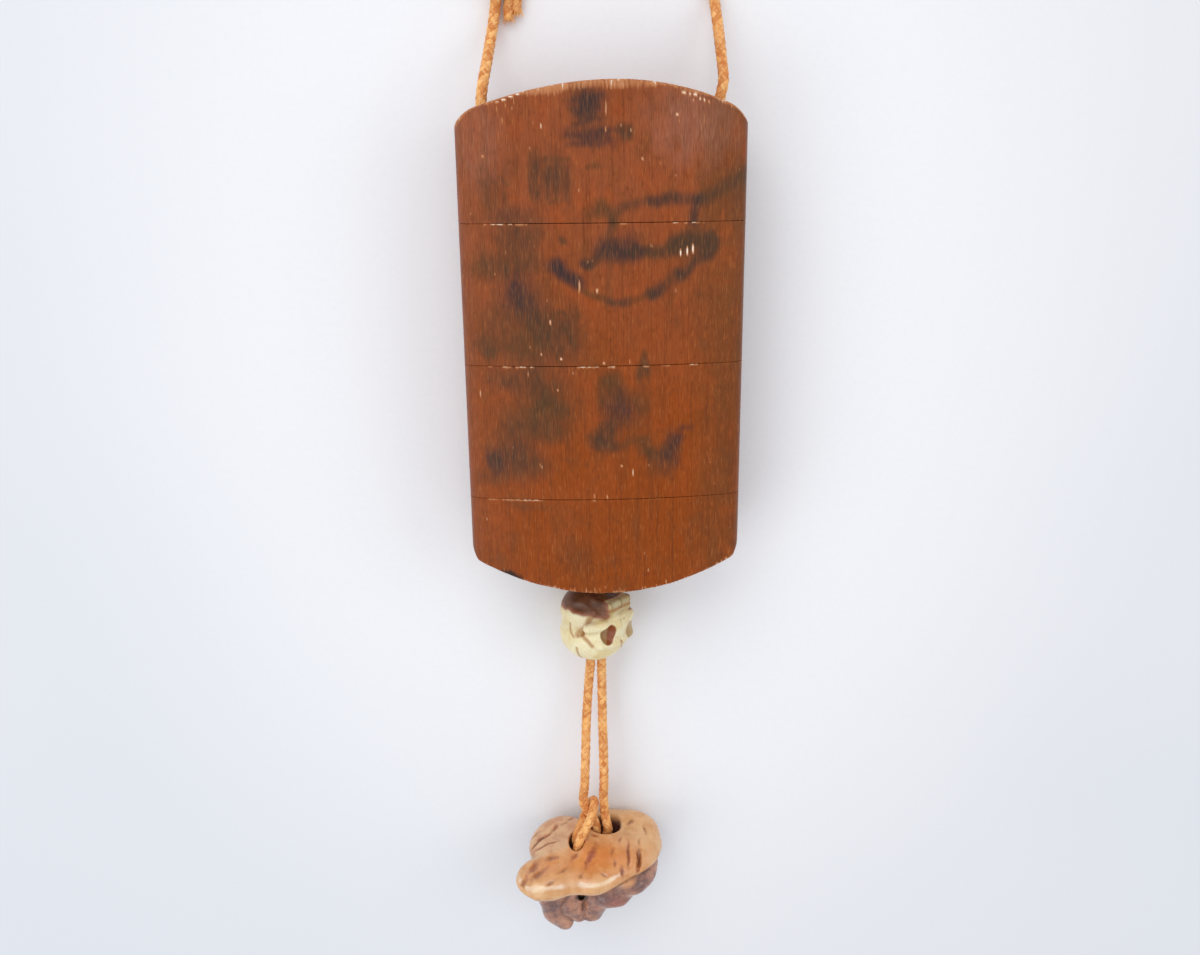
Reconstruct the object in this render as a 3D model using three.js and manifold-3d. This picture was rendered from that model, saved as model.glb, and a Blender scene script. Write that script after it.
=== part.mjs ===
// Inro set lying on its back: a four-piece hollow inro of wood with three nesting cases and a lid,
// a skull-shaped bone bead (ojime), a toggle carved as a lobed mushroom (netsuke), and the silk cord
// that threads all of them. Millimetres, +Z up. The case is centred on X and Y with its flat back at
// Z = 0. Its base end is at +Y, its lid end at -Y, and the bead and toggle lie beyond the lid.
import * as THREE from "three";
import { mergeVertices } from "three/addons/utils/BufferGeometryUtils.js";
import Module from "manifold-3d";

const wasm = await Module();
wasm.setup();

// ---------- driving dimensions ----------
// case body
const CASE_WIDTH = 56.0;
const CASE_THICKNESS = 25.0;
const FACE_CROWN = 3.2; // rise of the front and back over the width
const CORNER_RADIUS = 3.2; // between a face and a narrow side
const BACK_FLAT_DEPTH = 0.12; // taken off the back so that it lies still
const BASE_CORNER_Y = 44.75; // where the base end meets the narrow sides
const BASE_DOME_RISE = 5.95;
const BASE_DOME_SKEW = 0.08; // the dome's top sits slightly to +X, as share of half the width
const LID_CORNER_Y = -43.35;
const LID_DOME_RISE = 7.35;
const END_CORNER_DROP = 0.9; // rounding where the domes meet the narrow sides
const SEAM_Y = [24.9, -2.6, -30.1]; // base case / middle case / top case / lid
const SEAM_GAP = 0.3;

// inside of the case
const RECESS_HALF_WIDTH = 20.1; // takes the riser of the case below it
const RECESS_HALF_HEIGHT = 10.1;
const RISER_CLEARANCE = 0.3;
const RISER_WALL = 1.3;
const RISER_LENGTH = 9.5;
const RISER_END_GAP = 0.5;
const FLOOR_THICKNESS = 2.0;
const END_WALL = 2.6; // under the domes
const TUNNEL_X = 23.3;
const TUNNEL_RADIUS = 1.8;
const TUNNEL_MOUTH_RADIUS = 2.3;
const TUNNEL_MOUTH_DEPTH = 0.8;

// cord
const CORD_DIAMETER = 2.2;
const CORD_SIDES = 8;
const CORD_GAP = 0.35; // between two cord solids that meet end to end
const STRAND_SPACING = 2.56; // between the two strands in the bead
const BEAD_RUN_HALF = 9.4; // half the straight stretch of cord through the bead
const TABLE_CORD_Z = 1.12; // height of a cord's centre where it lies on the table

// skull bead
const BEAD_CENTRE = [-2.1, -64.8, 8.1];
const BEAD_FACE_TURN = 49; // degrees from straight up (+Z) towards +X
const SKULL_HALF_WIDTH = 8.0;
const SKULL_HALF_LENGTH = 8.1;
const SKULL_HALF_HEIGHT = 8.2;
const BORE_RADIUS = 1.5;

// mushroom toggle
const TOGGLE_CENTRE = [-4.5, -122.2, 12.05];
const TOGGLE_TILT = 14; // degrees that the cap's top leans up from facing the bead
const ENTRY_HOLE = { u: -2.8, v: -0.8, ru: 1.8, rv: 3.0 };
const KNOT_HOLE = { u: 3.5, v: -5.0, ru: 3.5, rv: 2.7 };
const HOLE_FLOOR = -2.6;

const HALF_W = CASE_WIDTH / 2;
const MID_Z = CASE_THICKNESS / 2 - BACK_FLAT_DEPTH;
const CORD_RADIUS = CORD_DIAMETER / 2;
const RAD = Math.PI / 180;

// ---------- helpers ----------
function solid(geometry) {
  const g = geometry.clone();
  for (const name of Object.keys(g.attributes)) if (name !== "position") g.deleteAttribute(name);
  const merged = mergeVertices(g, 1e-4);
  return new wasm.Manifold(
    new wasm.Mesh({
      numProp: 3,
      vertProperties: new Float32Array(merged.attributes.position.array),
      triVerts: new Uint32Array(merged.index.array),
    }),
  );
}

function geometryOf(body) {
  const mesh = body.getMesh();
  const stride = mesh.numProp;
  const count = mesh.vertProperties.length / stride;
  const position = new Float32Array(count * 3);
  for (let i = 0; i < count; i++)
    for (let k = 0; k < 3; k++) position[3 * i + k] = mesh.vertProperties[stride * i + k];
  const g = new THREE.BufferGeometry();
  g.setAttribute("position", new THREE.BufferAttribute(position, 3));
  g.setIndex(new THREE.BufferAttribute(new Uint32Array(mesh.triVerts), 1));
  const flat = g.toNonIndexed();
  flat.computeVertexNormals();
  return flat;
}

// The case's cross-section: two shallow arcs joined to straight narrow sides by rounded corners.
function lensShape(halfW, halfH, crown, corner, steps) {
  const radius = (halfW * halfW + crown * crown) / (2 * crown);
  const arcZ = halfH - radius;
  const filletX = halfW - corner;
  const filletZ = arcZ + Math.sqrt((radius - corner) ** 2 - filletX ** 2);
  const meet = Math.atan2(filletZ - arcZ, filletX); // angle at the arc's centre of the tangent point
  const quarter = [];
  for (let i = 0; i <= steps.corner; i++) {
    const a = (i / steps.corner) * meet;
    quarter.push([filletX + corner * Math.cos(a), filletZ + corner * Math.sin(a)]);
  }
  for (let i = 1; i <= steps.face; i++) {
    const a = meet + (i / steps.face) * (Math.PI / 2 - meet);
    quarter.push([radius * Math.cos(a), arcZ + radius * Math.sin(a)]);
  }
  const half = [...quarter, ...quarter.slice(0, -1).reverse().map(([x, z]) => [-x, z])];
  const whole = [...half, ...half.slice().reverse().map(([x, z]) => [x, -z])];
  return new THREE.Shape(whole.map(([x, z]) => new THREE.Vector2(x, z)));
}

// A section drawn in X and Z, run along Y from y0 to y1.
function alongY(shape, y0, y1, z = 0) {
  const g = new THREE.ExtrudeGeometry(shape, { depth: y1 - y0, steps: 1, bevelEnabled: false });
  g.rotateX(Math.PI / 2);
  g.translate(0, y1, z);
  return solid(g);
}

function domeHeight(x, rise, skew, half) {
  const t = Math.max(-1, Math.min(1, x / half));
  const shifted = t - skew * (1 - t * t);
  const edge = Math.max(0, (Math.abs(t) - 0.93) / 0.07);
  return rise * (1 - shifted * shifted) - END_CORNER_DROP * edge * edge;
}

// The front elevation: straight sides and a domed end each way, inset from the outside by inset.
function elevation(inset, half, zDepth) {
  const points = [];
  const n = 22;
  for (let i = 0; i <= n; i++) {
    const x = -half + (2 * half * i) / n;
    points.push([x, LID_CORNER_Y + inset - domeHeight(x, LID_DOME_RISE, 0, HALF_W)]);
  }
  for (let i = n; i >= 0; i--) {
    const x = -half + (2 * half * i) / n;
    points.push([x, BASE_CORNER_Y - inset + domeHeight(x, BASE_DOME_RISE, BASE_DOME_SKEW, HALF_W)]);
  }
  const g = new THREE.ExtrudeGeometry(new THREE.Shape(points.map(([x, y]) => new THREE.Vector2(x, y))), {
    depth: zDepth,
    steps: 1,
    bevelEnabled: false,
  });
  g.translate(0, 0, -zDepth / 2 + MID_Z);
  return solid(g);
}

function slab(y0, y1) {
  const g = new THREE.BoxGeometry(90, y1 - y0, 90);
  g.translate(0, (y0 + y1) / 2, 0);
  return solid(g);
}

function cylinderY(x, z, r0, r1, y0, y1, sides) {
  const g = new THREE.CylinderGeometry(r1, r0, y1 - y0, sides, 1);
  g.translate(x, (y0 + y1) / 2, z);
  return solid(g);
}

function ellipsoid(centre, radii, wide = 20, high = 12) {
  const g = new THREE.SphereGeometry(1, wide, high);
  g.scale(radii[0], radii[1], radii[2]);
  g.translate(centre[0], centre[1], centre[2]);
  return solid(g);
}

// A body carried into another frame; a left-handed frame turns each face round, so they are turned back.
function carried(body, matrix) {
  const g = geometryOf(body).applyMatrix4(matrix);
  if (matrix.determinant() < 0) {
    const p = g.getAttribute("position");
    for (let i = 0; i < p.count; i += 3) {
      const [x, y, z] = [p.getX(i + 1), p.getY(i + 1), p.getZ(i + 1)];
      p.setXYZ(i + 1, p.getX(i + 2), p.getY(i + 2), p.getZ(i + 2));
      p.setXYZ(i + 2, x, y, z);
    }
  }
  return solid(g);
}

function union(list) {
  return list.reduce((a, b) => a.add(b));
}

const meshOf = (name, body, material) => {
  const mesh = new THREE.Mesh(geometryOf(body), material);
  mesh.name = name;
  return mesh;
};

// ---------- materials ----------
const lacqueredWood = new THREE.MeshStandardMaterial({ color: 0x9a4a22, roughness: 0.42, metalness: 0 });
const silkCord = new THREE.MeshStandardMaterial({ color: 0xd08a4a, roughness: 0.8, metalness: 0 });
const oldBone = new THREE.MeshStandardMaterial({ color: 0xe9ddb4, roughness: 0.35, metalness: 0 });
const stagAntler = new THREE.MeshStandardMaterial({ color: 0xc98a50, roughness: 0.32, metalness: 0 });

// ---------- the four case pieces ----------
const outerShape = lensShape(HALF_W, CASE_THICKNESS / 2, FACE_CROWN, CORNER_RADIUS, { corner: 5, face: 8 });
const innerSteps = { corner: 3, face: 4 };
const recessShape = lensShape(RECESS_HALF_WIDTH, RECESS_HALF_HEIGHT, 2.4, 3.0, innerSteps);
const riserShape = lensShape(
  RECESS_HALF_WIDTH - RISER_CLEARANCE,
  RECESS_HALF_HEIGHT - RISER_CLEARANCE,
  2.4,
  2.8,
  innerSteps,
);
const hollowShape = lensShape(
  RECESS_HALF_WIDTH - RISER_CLEARANCE - RISER_WALL,
  RECESS_HALF_HEIGHT - RISER_CLEARANCE - RISER_WALL,
  2.2,
  1.8,
  innerSteps,
);

const restingHalf = solid(new THREE.BoxGeometry(200, 400, 60).translate(0, 0, 30));
const wholeCase = alongY(outerShape, -60, 60, MID_Z)
  .intersect(elevation(0, HALF_W + 0.001, 60))
  .intersect(restingHalf);
const insideEnds = elevation(END_WALL, RECESS_HALF_WIDTH + 1, 60); // keeps the hollows clear of the domed ends

let tunnels = null;
for (const x of [-TUNNEL_X, TUNNEL_X]) {
  const bore = cylinderY(x, MID_Z, TUNNEL_RADIUS, TUNNEL_RADIUS, -70, 70, 16);
  const endAt = (rise, skew) => domeHeight(x, rise, skew, HALF_W);
  const top = BASE_CORNER_Y + endAt(BASE_DOME_RISE, BASE_DOME_SKEW);
  const low = LID_CORNER_Y - endAt(LID_DOME_RISE, 0);
  const topMouth = cylinderY(x, MID_Z, TUNNEL_RADIUS, TUNNEL_MOUTH_RADIUS + 1.5, top - TUNNEL_MOUTH_DEPTH, top + 2.2, 16);
  const lowMouth = cylinderY(x, MID_Z, TUNNEL_MOUTH_RADIUS + 1.5, TUNNEL_RADIUS, low - 2.2, low + TUNNEL_MOUTH_DEPTH, 16);
  const one = bore.add(topMouth).add(lowMouth);
  tunnels = tunnels ? tunnels.add(one) : one;
}

const half = SEAM_GAP / 2;
// [name, outer from, outer to, has a riser towards -Y, has a recess for the riser of the case at +Y]
const pieces = [
  ["case_bottom", SEAM_Y[0] + half, 60, true, false],
  ["case_middle", SEAM_Y[1] + half, SEAM_Y[0] - half, true, true],
  ["case_top", SEAM_Y[2] + half, SEAM_Y[1] - half, true, true],
  ["lid", -60, SEAM_Y[2] - half, false, true],
];
const group = new THREE.Group();
for (const [name, from, to, hasRiser, hasRecess] of pieces) {
  let body = wholeCase.intersect(slab(from, to));
  if (hasRiser) {
    const riserEnd = from - RISER_LENGTH;
    body = body.add(alongY(riserShape, riserEnd, from + 1, MID_Z));
    const floorY = hasRecess ? to - RISER_LENGTH - RISER_END_GAP - FLOOR_THICKNESS : 60;
    body = body.subtract(alongY(hollowShape, riserEnd - 1, floorY, MID_Z).intersect(insideEnds));
  }
  if (hasRecess) {
    const recessTo = name === "lid" ? -60 : to - RISER_LENGTH - RISER_END_GAP;
    body = body.subtract(alongY(recessShape, recessTo, to + 1, MID_Z).intersect(insideEnds));
  }
  body = body.subtract(tunnels);
  group.add(meshOf(name, body, lacqueredWood));
}

// ---------- the skull bead ----------
// Skull frame: x to its right, y to its crown, z to its face. The crown points to -Y of the set.
{
  const box = (c, s) => solid(new THREE.BoxGeometry(...s).translate(...c));
  const k = SKULL_HALF_HEIGHT / 8.2;
  const cranium = ellipsoid([0, 1.4 * k, -0.4], [SKULL_HALF_WIDTH, SKULL_HALF_HEIGHT - 1.4 * k, SKULL_HALF_LENGTH - 0.4], 28, 16);
  const face = ellipsoid([0, -2.5, 3.1], [5.9, 4.6, 5.1], 20, 10);
  const jaw = ellipsoid([0, -5.6, 3.2], [4.9, 2.9, 4.7], 20, 8).intersect(box([0, -5.6, 3.2], [9.2, 5.0, 9.0]));
  const cheeks = [-1, 1].map((s) => ellipsoid([s * 5.2, -1.9, 4.5], [2.1, 1.9, 2.3], 14, 8));
  let skull = union([cranium, face, jaw, ...cheeks]);
  const cuts = [];
  for (const s of [-1, 1]) {
    cuts.push(ellipsoid([s * 3.75, -0.6, 8.2], [1.75, 2.15, 2.7], 14, 8)); // eye socket
    cuts.push(ellipsoid([s * 8.6, 0.9, 5.0], [1.9, 2.2, 2.4], 12, 8)); // temple
    cuts.push(ellipsoid([s * 7.6, -6.0, 0.6], [2.7, 3.4, 3.6], 12, 8)); // under the cheekbone
  }
  cuts.push(ellipsoid([0, -3.1, 8.9], [1.05, 1.5, 1.9], 12, 8)); // nose
  cuts.push(ellipsoid([0, -9.4, -3.6], [5.4, 4.4, 4.9], 16, 8)); // hollow behind the jaw
  for (const cut of cuts) skull = skull.subtract(cut);

  const turn = BEAD_FACE_TURN * RAD;
  const up = new THREE.Vector3(0, -1, 0);
  const front = new THREE.Vector3(Math.sin(turn), 0, Math.cos(turn));
  const right = new THREE.Vector3().crossVectors(up, front);
  const place = new THREE.Matrix4().makeBasis(right, up, front).setPosition(...BEAD_CENTRE);
  skull = carried(skull, place);
  const [bx, by, bz] = BEAD_CENTRE;
  const s = STRAND_SPACING / 2;
  let bore = cylinderY(bx - s, bz, BORE_RADIUS, BORE_RADIUS, by - 12, by + 12, 12);
  bore = bore.add(cylinderY(bx + s, bz, BORE_RADIUS, BORE_RADIUS, by - 12, by + 12, 12));
  bore = bore.add(box([bx, by, bz], [STRAND_SPACING, 24, 2 * BORE_RADIUS * Math.cos(Math.PI / 12)]));
  skull = skull.subtract(bore).intersect(restingHalf);
  group.add(meshOf("ojime_bead", skull, oldBone));
}

// ---------- cord solids ----------
class Route extends THREE.Curve {
  constructor(points) {
    super();
    this.spline = new THREE.CatmullRomCurve3(points, false, "centripetal");
  }
  getPoint(t, target = new THREE.Vector3()) {
    return this.spline.getPoint(t, target);
  }
}

function cordSolid(points, steps) {
  const section = new THREE.Shape(
    Array.from({ length: CORD_SIDES }, (_, i) => {
      const a = (2 * Math.PI * (i + 0.5)) / CORD_SIDES;
      return new THREE.Vector2(CORD_RADIUS * Math.cos(a), CORD_RADIUS * Math.sin(a));
    }),
  );
  const g = new THREE.ExtrudeGeometry(section, {
    extrudePath: new Route(points.map((p) => new THREE.Vector3(...p))),
    steps,
    bevelEnabled: false,
  });
  return solid(g);
}

// ---------- the mushroom toggle ----------
// Toggle frame, left-handed: u to +X, v up off the table, w out of the cap's top towards the bead.
const lean = TOGGLE_TILT * RAD;
const togglePlace = new THREE.Matrix4()
  .makeBasis(
    new THREE.Vector3(1, 0, 0),
    new THREE.Vector3(0, -Math.sin(lean), Math.cos(lean)),
    new THREE.Vector3(0, Math.cos(lean), Math.sin(lean)),
  )
  .setPosition(...TOGGLE_CENTRE);
const toggleAt = (u, v, w) => new THREE.Vector3(u, v, w).applyMatrix4(togglePlace).toArray();
{
  const lobes = [
    ellipsoid([-6.5, -2.0, 0.4], [7.4, 8.4, 3.3], 18, 8), // back left
    ellipsoid([6.4, -2.4, 0.6], [11.1, 9.9, 3.6], 24, 8), // right
    ellipsoid([-11.2, 7.2, -0.5], [5.7, 5.6, 3.0], 16, 8), // front left
    ellipsoid([-6.5, 5.8, 0.0], [5.5, 5.7, 3.0], 16, 8), // between it and the middle
    ellipsoid([0.4, 2.0, 0.1], [8.4, 9.6, 3.4], 18, 8), // middle
    ellipsoid([6.3, 1.8, -5.2], [8.9, 9.4, 5.0], 20, 10), // the fold under the right lobe
  ];
  const stems = [
    [[-3, 3, -3, 4.0], [-9.0, 6.2, -6.8, 3.5], [-8.0, 7.0, -10.8, 3.1], [-5.8, 8.0, -13.9, 2.3]],
    [[-2, 4, -4, 3.6], [-4.8, 7.4, -8.6, 2.6], [-2.6, 7.6, -12.0, 2.3]],
    [[1, 3, -4, 3.8], [1.6, 5.8, -8.5, 3.4], [0.2, 6.4, -12.2, 3.2]],
    [[1, -4, -2, 4.6], [1.8, -6.2, -7.0, 3.6], [-2.0, -6.6, -10.6, 3.3], [-5.0, -5.4, -11.4, 2.8]],
  ];
  const parts = [...lobes];
  for (const chain of stems)
    for (let i = 0; i + 1 < chain.length; i++) {
      const [a, b] = [chain[i], chain[i + 1]];
      const from = new THREE.Vector3(a[0], a[1], a[2]);
      const to = new THREE.Vector3(b[0], b[1], b[2]);
      const along = to.clone().sub(from);
      const g = new THREE.CylinderGeometry(b[3], a[3], along.length(), 8, 1);
      g.applyQuaternion(new THREE.Quaternion().setFromUnitVectors(new THREE.Vector3(0, 1, 0), along.clone().normalize()));
      g.translate(...from.clone().add(to).multiplyScalar(0.5).toArray());
      parts.push(solid(g));
      parts.push(ellipsoid([b[0], b[1], b[2]], [b[3], b[3], b[3]], 8, 6));
    }
  let toggle = union(parts);
  for (const hole of [ENTRY_HOLE, KNOT_HOLE]) {
    const g = new THREE.CylinderGeometry(1, 1, 12, 16, 1).rotateX(Math.PI / 2).scale(hole.ru, hole.rv, 1);
    g.translate(hole.u, hole.v, HOLE_FLOOR + 6);
    toggle = toggle.subtract(solid(g));
  }
  toggle = carried(toggle, togglePlace).intersect(restingHalf);
  group.add(meshOf("netsuke_toggle", toggle, stagAntler));
}

// ---------- the cord's routes ----------
const lidMouthY = LID_CORNER_Y - domeHeight(TUNNEL_X, LID_DOME_RISE, 0, HALF_W);
const baseMouthY = (x) => BASE_CORNER_Y + domeHeight(x, BASE_DOME_RISE, BASE_DOME_SKEW, HALF_W);

const baseMouth = { left: baseMouthY(-TUNNEL_X), right: baseMouthY(TUNNEL_X) };
for (const [side, sign] of [["left", -1], ["right", 1]]) {
  const x = sign * TUNNEL_X;
  group.add(
    meshOf(
      "cord_tunnel_" + side,
      cordSolid([[x, lidMouthY, MID_Z], [x, 0, MID_Z], [x, baseMouth[side], MID_Z]], 1),
      silkCord,
    ),
  );
  const [bx, by, bz] = BEAD_CENTRE;
  const s = (sign * STRAND_SPACING) / 2;
  const lidRun = [
    [x, lidMouthY - CORD_GAP, MID_Z],
    [x * 0.985, lidMouthY - 2.7, MID_Z - 0.2],
    ...[0.82, 0.6, 0.38].map((share) => {
      const at = x * share + bx * (1 - share) * 0.5;
      const end = LID_CORNER_Y - domeHeight(at, LID_DOME_RISE, 0, HALF_W);
      return [at, end - 2.5, bz + (MID_Z - bz) * share];
    }),
    [x * 0.17 + bx * 0.75, lidMouthY - 8.1, bz + 0.4],
    [bx + s * 1.2, by + 11.2, bz + 0.05],
    [bx + s, by + BEAD_RUN_HALF + CORD_GAP, bz],
  ];
  group.add(meshOf("cord_lid_end_" + side, cordSolid(lidRun, 7), silkCord));
  const beadRun = [
    [bx + s, by + BEAD_RUN_HALF, bz],
    [bx + s, by, bz],
    [bx + s, by - BEAD_RUN_HALF, bz],
  ];
  group.add(meshOf("cord_bead_" + side, cordSolid(beadRun, 1), silkCord));
  const strand = [
    [bx + s, by - BEAD_RUN_HALF - CORD_GAP, bz],
    [bx + s * 1.1 - 0.1, by - 12.5, bz - 0.9],
    [bx + s * 1.3 - 0.3, by - 19.0, bz - 2.3],
    [bx + s * 1.5 - 0.5, by - 26.0, bz - 2.2],
    [bx + s * 1.65 - 0.6, by - 33.0, bz - 0.1],
    toggleAt(1.6 + sign * 2.3, -6.4, 15.6),
    toggleAt(1.45 + sign * 2.35, -6.7, 13.0),
    toggleAt(1.4 + sign * 2.4, -6.8, 11.0),
    toggleAt(1.55 + sign * 2.38, -6.6, 9.0),
    toggleAt(2.3 + sign * 1.78, -6.1, 6.6),
    toggleAt(3.05 + sign * 1.42, -5.3, 4.6),
    toggleAt(3.4 + sign * 1.42, -4.9, 2.4),
    toggleAt(3.5 + sign * 1.42, -5.0, -0.6),
  ];
  group.add(meshOf("cord_strand_" + side, cordSolid(strand, 16), silkCord));
}

// the bight that comes out of the toggle's other hole and passes round the left strand, between the two
group.add(
  meshOf(
    "cord_hitch",
    cordSolid(
      [
        toggleAt(-2.7, 0.5, -1.4),
        toggleAt(-2.6, 0.5, 2.6),
        toggleAt(-1.9, -0.1, 4.6),
        toggleAt(-0.6, -1.6, 6.3),
        toggleAt(0.6, -3.3, 7.9),
        toggleAt(1.3, -4.9, 9.0),
        toggleAt(1.57, -6.5, 9.4),
        toggleAt(1.5, -8.0, 8.9),
        toggleAt(1.1, -8.95, 7.75),
        toggleAt(0.45, -9.1, 6.45),
        toggleAt(-0.25, -8.35, 5.35),
        toggleAt(-0.9, -6.85, 4.8),
        toggleAt(-1.5, -5.0, 4.65),
        toggleAt(-2.2, -3.35, 4.1),
        toggleAt(-2.8, -2.35, 2.7),
        toggleAt(-2.9, -2.1, 0.6),
        toggleAt(-2.9, -2.1, -1.4),
      ],
      22,
    ),
    silkCord,
  ),
);

// the loop beyond the base end, with the knot that joins the cord's ends
const KNOT_CENTRE = [-18.8, 72.0, 2.6];
const KNOT_RADII = [2.9, 3.3, 2.5];
group.add(
  meshOf(
    "cord_loop_left",
    cordSolid(
      [
        [-TUNNEL_X, baseMouth.left + CORD_GAP, MID_Z],
        [-TUNNEL_X + 0.4, baseMouth.left + 4.0, MID_Z - 0.7],
        [-22.2, baseMouth.left + 8.6, MID_Z - 4.6],
        [-21.6, baseMouth.left + 13.0, MID_Z - 8.8],
        [-20.8, baseMouth.left + 17.6, 1.9],
        [-20.2, KNOT_CENTRE[1] - KNOT_RADII[1] - 0.45, 1.7],
      ],
      5,
    ),
    silkCord,
  ),
);
const knot = union([
  ellipsoid(KNOT_CENTRE, KNOT_RADII, 16, 10),
  cordSolid(
    [
      [-18.2, 71.4, 2.6],
      [-17.7, 68.4, 2.2],
      [-17.9, 65.8, 1.4],
      [-17.85, 63.2, TABLE_CORD_Z],
    ],
    3,
  ),
  cordSolid(
    [
      [-17.0, 72.0, 2.6],
      [-15.9, 69.0, 2.3],
      [-16.2, 66.6, 1.5],
      [-16.2, 64.4, TABLE_CORD_Z],
    ],
    3,
  ),
]).intersect(restingHalf);
group.add(meshOf("cord_knot", knot, silkCord));
group.add(
  meshOf(
    "cord_loop_right",
    cordSolid(
      [
        [-17.7, KNOT_CENTRE[1] + KNOT_RADII[1] + 0.3, 1.7],
        [-16.0, 79.0, TABLE_CORD_Z],
        [-12.6, 88.0, TABLE_CORD_Z],
        [-10.8, 97.0, TABLE_CORD_Z],
        [-9.0, 105.0, TABLE_CORD_Z],
        [-4.6, 111.4, TABLE_CORD_Z],
        [2.4, 113.6, TABLE_CORD_Z],
        [9.4, 111.2, TABLE_CORD_Z],
        [13.8, 105.0, TABLE_CORD_Z],
        [16.2, 96.0, TABLE_CORD_Z],
        [19.4, 86.0, TABLE_CORD_Z],
        [21.8, 76.0, TABLE_CORD_Z],
        [23.2, baseMouth.right + 21.0, 1.5],
        [23.7, baseMouth.right + 15.0, 5.0],
        [24.1, baseMouth.right + 9.0, MID_Z - 4.2],
        [TUNNEL_X + 0.8, baseMouth.right + 4.0, MID_Z - 0.7],
        [TUNNEL_X, baseMouth.right + CORD_GAP, MID_Z],
      ],
      24,
    ),
    silkCord,
  ),
);

export default group;
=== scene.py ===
"""Looks of the inro set: a four-piece wooden inro lying on its back, its silk cord, a skull bead of old bone
and a polished mushroom toggle. Lengths in this file are millimetres in the part's own frame until a mesh is made."""

import math

import bpy
import numpy as np
from mathutils import Matrix, Vector
from mathutils.geometry import delaunay_2d_cdt


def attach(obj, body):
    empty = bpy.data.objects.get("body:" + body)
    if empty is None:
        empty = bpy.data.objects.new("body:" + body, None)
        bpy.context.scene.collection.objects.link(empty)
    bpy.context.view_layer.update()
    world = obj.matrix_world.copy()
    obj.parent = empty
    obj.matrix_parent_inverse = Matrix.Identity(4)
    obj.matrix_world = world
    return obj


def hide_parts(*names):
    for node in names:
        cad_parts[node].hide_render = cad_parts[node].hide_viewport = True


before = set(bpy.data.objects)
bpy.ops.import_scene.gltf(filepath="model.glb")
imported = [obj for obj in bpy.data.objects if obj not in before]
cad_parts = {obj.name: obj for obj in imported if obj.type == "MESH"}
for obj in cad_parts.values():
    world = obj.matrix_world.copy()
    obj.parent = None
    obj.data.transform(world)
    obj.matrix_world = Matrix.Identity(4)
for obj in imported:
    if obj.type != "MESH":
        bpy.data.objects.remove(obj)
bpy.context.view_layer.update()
scene = bpy.context.scene
scene.view_settings.view_transform = "Standard"
MM = 0.001

# ---------- dimensions, as the part has them ----------
CASE_WIDTH, CASE_THICKNESS, FACE_CROWN, CORNER_RADIUS = 56.0, 25.0, 3.2, 3.2
BACK_FLAT_DEPTH = 0.12
BASE_CORNER_Y, BASE_DOME_RISE, BASE_DOME_SKEW = 44.75, 5.95, 0.08
LID_CORNER_Y, LID_DOME_RISE = -43.35, 7.35
BASE_CORNER, LID_CORNER = (0.85, 1.6), (0.95, 2.0)  # where the worn corners start, and how far they drop
SEAM_Y = (24.9, -2.6, -30.1)
RECESS_HALF_WIDTH, RECESS_HALF_HEIGHT = 20.1, 10.1
RISER_CLEARANCE, RISER_WALL, RISER_LENGTH, RISER_END_GAP = 0.3, 1.3, 9.5, 0.5
FLOOR_THICKNESS, END_WALL = 2.0, 2.6
TUNNEL_X, TUNNEL_RADIUS = 23.3, 1.8
CORD_DIAMETER, STRAND_SPACING, BEAD_RUN_HALF, TABLE_CORD_Z = 2.2, 2.56, 9.4, 1.12
BEAD_CENTRE, BEAD_FACE_TURN = (-2.1, -64.8, 8.1), 49.0
TOGGLE_CENTRE, TOGGLE_TILT = (-4.5, -122.2, 12.05), 14.0
HALF_W = CASE_WIDTH / 2
MID_Z = CASE_THICKNESS / 2 - BACK_FLAT_DEPTH
RAD = math.pi / 180


def dome(x, rise, skew, corner):
    t = np.clip(np.asarray(x, float) / HALF_W, -1, 1)
    shifted = t - skew * (1 - t * t)
    edge = np.maximum(0, (np.abs(t) - corner[0]) / (1 - corner[0]))
    return rise * (1 - shifted * shifted) - corner[1] * edge * edge


def base_y(x):
    return BASE_CORNER_Y + dome(x, BASE_DOME_RISE, BASE_DOME_SKEW, BASE_CORNER)


def lid_y(x):
    return LID_CORNER_Y - dome(x, LID_DOME_RISE, 0, LID_CORNER)


# ---------- noise ----------
def _lattice(ix, iy, iz, seed):
    with np.errstate(over="ignore"):
        h = (
            ix.astype(np.uint32) * np.uint32(0x9E3779B1)
            + iy.astype(np.uint32) * np.uint32(0x85EBCA77)
            + iz.astype(np.uint32) * np.uint32(0xC2B2AE3D)
            + np.uint32((seed * 0x27D4EB2F + 0x165667B1) & 0xFFFFFFFF)
        )
        h ^= h >> np.uint32(15)
        h *= np.uint32(0x2C1B3C6D)
        h ^= h >> np.uint32(12)
        h *= np.uint32(0x297A2D39)
        h ^= h >> np.uint32(15)
    return h.astype(np.float32) / np.float32(2147483648.0) - np.float32(1)


def noise(p, size, seed):
    """Smooth noise from about -1 to 1 over points p (N, 3) with features of that size (one number or three)."""
    q = (np.asarray(p, np.float64) / np.asarray(size, np.float64)).astype(np.float32)
    i = np.floor(q)
    f = q - i
    f = f * f * f * (f * (f * 6 - 15) + 10)
    i = i.astype(np.int64)
    x, y, z = i[:, 0], i[:, 1], i[:, 2]
    out = 0
    for dx in (0, 1):
        wx = f[:, 0] if dx else 1 - f[:, 0]
        for dy in (0, 1):
            wy = f[:, 1] if dy else 1 - f[:, 1]
            for dz in (0, 1):
                wz = f[:, 2] if dz else 1 - f[:, 2]
                out = out + wx * wy * wz * _lattice(x + dx, y + dy, z + dz, seed)
    return out


def fbm(p, size, seed, octaves=3, gain=0.5):
    out, a, total = 0, 1.0, 0.0
    size = np.asarray(size, float)
    for k in range(octaves):
        out = out + a * noise(p, size / 2**k, seed + 17 * k)
        total += a
        a *= gain
    return out / total


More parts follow.
